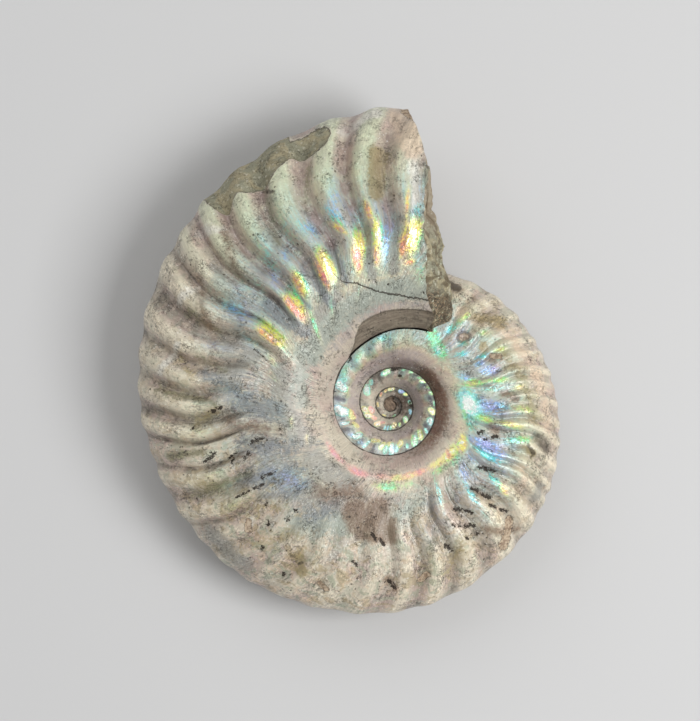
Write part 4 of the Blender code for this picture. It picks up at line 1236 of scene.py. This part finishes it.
def nacre_material():
    """Weathered nacre: beige, with a painted sheen of hues, painted bright flashes and glints,
    painted shade in its valleys, seams and umbilicus, stains, pits and chips.
    """
    m = Shader("nacre")
    coarse = m.noise(6, 3)
    middle = m.noise(1.5, 4, twist=0.6)
    fine = m.noise(0.42, 3)
    grain = m.noise(0.17, 2)
    ragged = middle * 0.9 + fine * 1.1
    fraction = m.field("fraction")
    along = m.field("along")
    lines = m.noise(0.9, 3, m.vector(along, fraction * 7))
    hairs = m.noise(0.5, 2, m.vector(along, fraction * 18, 3))
    calm = m.field("calm")
    mauve = m.field("mauve")
    sheen = m.field("sheen")
    worn = m.field("worn")

    # plain shell
    m.colour = m.mix(m.step(-0.10, 0.10, coarse), BEIGE, PINK_GREY)
    m.lay(m.step(0, 0.12, middle) * 0.45, GREY_GREEN)
    # painted highlight on the rib crests of the outer flank, cream to pale green
    outer = m.step(0.50, 0.75, fraction + middle * 0.3)
    crest = m.step(0.25, 0.75, m.field("crest"))
    m.lay(outer * (crest * 0.8), m.mix(mauve, CREAM, PALE_GREEN))
    # painted shade on the wall of the umbilicus, dusky to rose-brown where strongest
    wall = m.field("wall")
    wall = m.step(0, 1, wall + ragged * wall)
    m.lay(wall, m.mix(m.step(0.35, 0.75, wall), DUSK, ROSE_BROWN))

    # painted sheen, in hues that shift along the rib slopes
    hue = m.math("FRACT", m.field("hue") + middle * 0.35 + fine * 0.20 + 1)
    lined = m.step(-0.14, 0.14, lines) * 0.5 + calm * 0.25 + 0.25
    m.lay(m.step(0, 1.1, sheen + ragged * 0.4) * lined, m.ramp(hue, SHEEN_HUES))
    # painted sheen: rose on the slope behind each rib crest
    behind = m.step(0.1, 0.9, m.field("ahead") * -1) * m.step(0.8, 0.5, fraction)
    m.lay(behind * 0.55, ROSE_GREY)

    # streaks along the growth lines
    streaks = m.noise(0.55, 2, m.vector(along, fraction * 1.6, 5))
    broken = m.field("streaky") * m.step(-0.10, 0.12, m.noise(0.9, 3))
    m.lay(m.step(0.02, 0.14, streaks) * broken * 0.7, CREAM)
    m.lay(m.step(-0.02, -0.12, streaks) * broken * 0.9, SLATE)

    # worn patches, in ochre, peach and grey-green
    patches = m.noise(2.3, 4, twist=1)
    rubbed = m.noise(1.4, 4, roughness=0.65, twist=0.8)
    m.lay(m.step(0.02, 0.12, patches) * worn * 0.6, WORN_OCHRE)
    m.lay(m.step(-0.04, -0.12, patches) * worn * 0.6, WORN_GREEN)
    m.lay(m.step(0.04, 0.10, rubbed) * worn * 0.35, PEACH)

    # stains, some of them painted shade: the dusky patches, the umbilicus's gaps and deep turns
    cover = 0
    for name, stain in STAIN_COLOURS.items():
        share = m.step(0, 0.7, m.field(name) + ragged)
        m.lay(share * 0.8, stain)
        if name in COVERING:
            cover = m.greatest(cover, share)

    # painted shade and dirt in the rib valleys, and grain
    groove = m.field("groove") * (middle * 2.5 + 0.70) * (1 - cover * 0.7)
    m.lay(m.math("MINIMUM", groove, 0.8), m.mix(mauve, VALLEY_SHADE, MAUVE_SHADE))
    patchy = m.step(-0.06, 0.10, m.noise(3, 2)) * 1.1 + 0.30
    patchy = patchy * (1 - calm * 0.65) * (1 - mauve * 0.45)
    tone = (grain * 0.9 + fine * 1.1 + hairs * 1.2) * patchy + middle * 0.5 + lines * 0.7
    # the painted shade in the umbilicus darkens the tone
    tone = (tone + 1.02) * (1 - m.field("dim") * 0.42)
    m.lay(1, m.vector(tone, tone, tone), "MULTIPLY")
    web = abs(m.noise(1.1, 5, roughness=0.7, twist=1.2))
    web = m.step(0.014, 0.003, web) * m.step(0, 0.10, m.noise(2.2, 3))
    m.lay(web * 0.65, DIRT_AND_SHADE)
    specks = m.step(0.36, 0.20, m.dots(0.62)) * m.step(0.10, 0.16, m.noise(1.3, 3))
    flakes = m.step(0.18, 0.21, m.noise(1.2, 5, roughness=0.7, twist=0.5)) * worn
    specks = m.greatest(specks * (1 - calm), flakes)
    m.lay(specks * 0.8, PIT)
    curls = abs(m.noise(0.9, 4, roughness=0.6, twist=1.6) - 0.02)
    curls = m.step(0.016, 0.004, curls) * m.step(0.02, 0.10, m.noise(1.7, 3))
    m.lay(curls * 0.55, CREAM)
    # painted glints: small white dots
    glints = m.step(0.26, 0.14, m.dots(0.47)) * m.step(0.04, 0.10, m.noise(0.9, 3))
    m.lay(glints * (1 - cover) * 0.40, WHITE)

    # painted flashes: highlights in the nacre's hues, with white cores
    streak = lines * 0.35 + fine * 0.35 + hairs * 0.30
    uneven = m.step(-0.08, 0.08, streak) * 0.95 + 0.35
    even = fine * 1.8 + grain + 0.95
    lit = m.field("flash") * (uneven * (1 - calm) + even * calm)
    lit = lit * (1 - m.greatest(web, specks) * 0.7)
    bright = m.math("MINIMUM", lit, 1)
    tint = m.mix(m.step(0.1, 0.75, lit), m.ramp(hue, SHEEN_HUES), m.ramp(hue, FLASH_HUES))
    tint = m.mix(calm * 0.18, tint, WHITE)
    m.lay(bright * 0.60, tint)
    m.lay(bright * (bright * 0.65 + 0.35), tint, "SCREEN")
    m.lay(m.step(1.10, 2, lit) * 0.9, WHITE)

    # the band, seams, nodule, pits and crack
    band = m.field("band")
    # a dark line of painted shade along the band's edge
    edge = m.step(0.26, 0.04, abs(band + fine * 0.8))
    band = m.step(-0.16, 0.14, band + fine * 0.6 + middle * 0.5)
    layers = m.noise(0.5, 3, m.vector(along * 0.06, fraction * 60))
    m.lay(band * 0.9, m.mix(m.step(-0.10, 0.12, layers), BAND, PALE_BAND))
    knob = m.step(0, 0.3, m.field("knob"))
    m.lay(knob * 0.8, m.mix(m.step(-0.1, 0.1, fine), KNOB, PALE_SPALL))
    # painted shade and dirt along the seams
    seam = m.step(-0.1, 0.5, m.field("seam") + fine * 1.8 + middle * 2)
    ring = m.step(0.1, 0.6, m.field("ring") + fine * 1.2)
    dark_lines = m.greatest(edge * 0.45, seam, ring * 0.6)
    m.lay(dark_lines * 0.85, DIRT_AND_SHADE)
    pit = m.step(0, 0.12, m.field("pit") + fine * 4 + grain * 3.4)
    m.lay(pit * 0.95, PIT)
    width = m.field("crack_width")
    wander = m.field("crack") + middle * 0.7 + fine * 0.5
    crack = m.step(width, width * 0.4, abs(wander)) * m.step(0, 0.02, width)
    m.lay(crack * 0.85, DIRT_AND_SHADE)

    # chips and places where the skin has come off
    chipped = m.field("chip") + middle * 0.9 + fine * 0.5
    chip = m.step(-0.04, 0.04, chipped)
    m.lay(m.step(-0.30, -0.06, chipped) * 0.6, CREAM)
    m.lay(chip, stone_colour(m))
    m.lay(m.step(0.16, 0.03, abs(chipped)) * 0.7, DIRT_AND_SHADE)
    spalled = m.field("spall") + fine * 1.4 + grain * 0.8
    spall = m.step(-0.06, 0.06, spalled)
    m.lay(spall * 0.9, m.mix(m.step(-0.08, 0.08, fine), SPALL, PALE_SPALL))
    m.lay(m.step(0.14, 0.04, abs(spalled)) * 0.7, DIRT_AND_SHADE)

    sunk = m.greatest(pit, crack, dark_lines)
    dull = m.greatest(sunk, chip, spall, band)
    relief = lines * 0.5 + hairs * 0.4 + fine * 0.8 - m.greatest(sunk, web) * 0.8
    return m.finish(
        Base_Color=m.colour,
        Roughness=fine * 0.4 - bright * 0.12 + dull * 0.35 + 0.36,
        Metallic=(sheen * 0.15 + bright * 0.25) * (1 - dull),
        Normal=m.bump(0.14, relief),
        Coat_Weight=(1 - dull) * 0.25,
        Coat_Roughness=0.22,
    )


def stone_colour(m):
    """Olive-grey stone with tan patches, dark and pale grains and dark lines."""
    patch = m.step(-0.08, 0.10, m.noise(2.6, 3, twist=0.8))
    dark = m.step(0, 0.14, m.noise(1.2, 4, roughness=0.6))
    line = m.step(0.020, 0.005, abs(m.noise(1.4, 3, twist=1)))
    pale = m.step(0.08, 0.18, m.noise(0.5, 3))
    colour = m.mix(patch, OLIVE_STONE, TAN_STONE)
    colour = m.mix(dark * 0.45, colour, DARK_GRAIN)
    colour = m.mix(line * 0.45, colour, DIRT_AND_SHADE)
    return m.mix(pale * 0.6, colour, PALE_GRAIN)


def stone_material():
    """The rough stone in the mouth, dark in its lowest corner and tan at the top."""
    m = Shader("stone")
    low = m.field("low")
    m.colour = stone_colour(m)
    m.lay(m.step(-0.06, 0.10, m.noise(1.2, 4, twist=0.8)) * 0.75, RUST)
    m.lay(m.field("high") * 0.60, HIGH_STONE)
    m.lay(low * m.step(0.16, 0, m.noise(0.7, 3)) * 0.8, LOW_STONE)
    vein = m.step(0.030, 0.008, abs(m.noise(0.9, 4, twist=1.4)))
    m.lay(vein * low * 0.7, VEIN)
    # painted sparkle: small pale glints, on a smoother surface
    spark = m.step(0.30, 0.10, m.dots(0.6)) * m.step(0.07, 0.14, m.noise(0.7, 3))
    m.lay(spark * 0.8, SPARK)
    relief = m.noise(0.6, 5, roughness=0.65)
    return m.finish(Base_Color=m.colour, Roughness=0.75 - spark * 0.5, Normal=m.bump(0.25, relief))


def heart_material():
    """The dark, dull middle of the umbilicus."""
    m = Shader("heart")
    colour = m.mix(m.step(-0.15, 0.15, m.noise(0.35, 3)), HEART, PALE_HEART)
    return m.finish(Base_Color=colour, Roughness=0.7, Normal=m.bump(0.06, m.noise(0.25, 3)))


def make_floor():
    """Plain pale studio floor."""
    mesh = bpy.data.meshes.new("floor")
    corners = itertools.product((-FLOOR_REACH, FLOOR_REACH), (-FLOOR_REACH, FLOOR_REACH), (0,))
    mesh.from_pydata(list(corners), [], [(0, 2, 3, 1)])
    mesh.materials.append(Shader("floor").finish(Base_Color=FLOOR_GREY, Roughness=0.9))
    floor = add_object("floor", mesh)


def make_camera():
    """A camera straight over the shell, along its coiling axis, with the mouth upwards."""
    camera = bpy.data.cameras.new("camera")
    camera.sensor_width = SENSOR
    camera.lens = LENS
    camera.clip_start = NEAREST
    holder = add_object("camera", camera)
    target = (LYING @ CAMERA_TARGET + COIL_CENTRE) * MM
    above = LYING @ Vector((0, 0, CAMERA_DISTANCE))
    holder.matrix_world = Matrix.Translation(target + above) @ LYING.to_4x4()
    bpy.context.scene.camera = holder


def make_lights():
    scene = bpy.context.scene
    scene.world = bpy.data.worlds.new("studio")
    scene.world.use_nodes = True
    background = scene.world.node_tree.nodes["Background"]
    background.inputs["Color"].default_value = (1, 1, 1, 1)
    background.inputs["Strength"].default_value = SKY_STRENGTH
    for name, at, size, power in LIGHTS:
        light = bpy.data.lights.new(name, "AREA")
        light.size = size
        light.energy = power
        holder = add_object(name, light)
        holder.location = at
        holder.rotation_euler = (-Vector(at)).to_track_quat("-Z", "Y").to_euler()
    scene.view_settings.view_transform = "Standard"


nacre = nacre_material()
stone = stone_material()
make_camera()
make_lights()
make_floor()
for piece in (make_turns("last_turn", last_turn_grid, last_turn_fields, nacre),
              make_turns("inner_turns", inner_turn_grid, inner_turn_fields, nacre),
              make_mouth_stone(stone), make_centre(heart_material())):
    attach(piece, "root")
    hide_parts("ammonite")
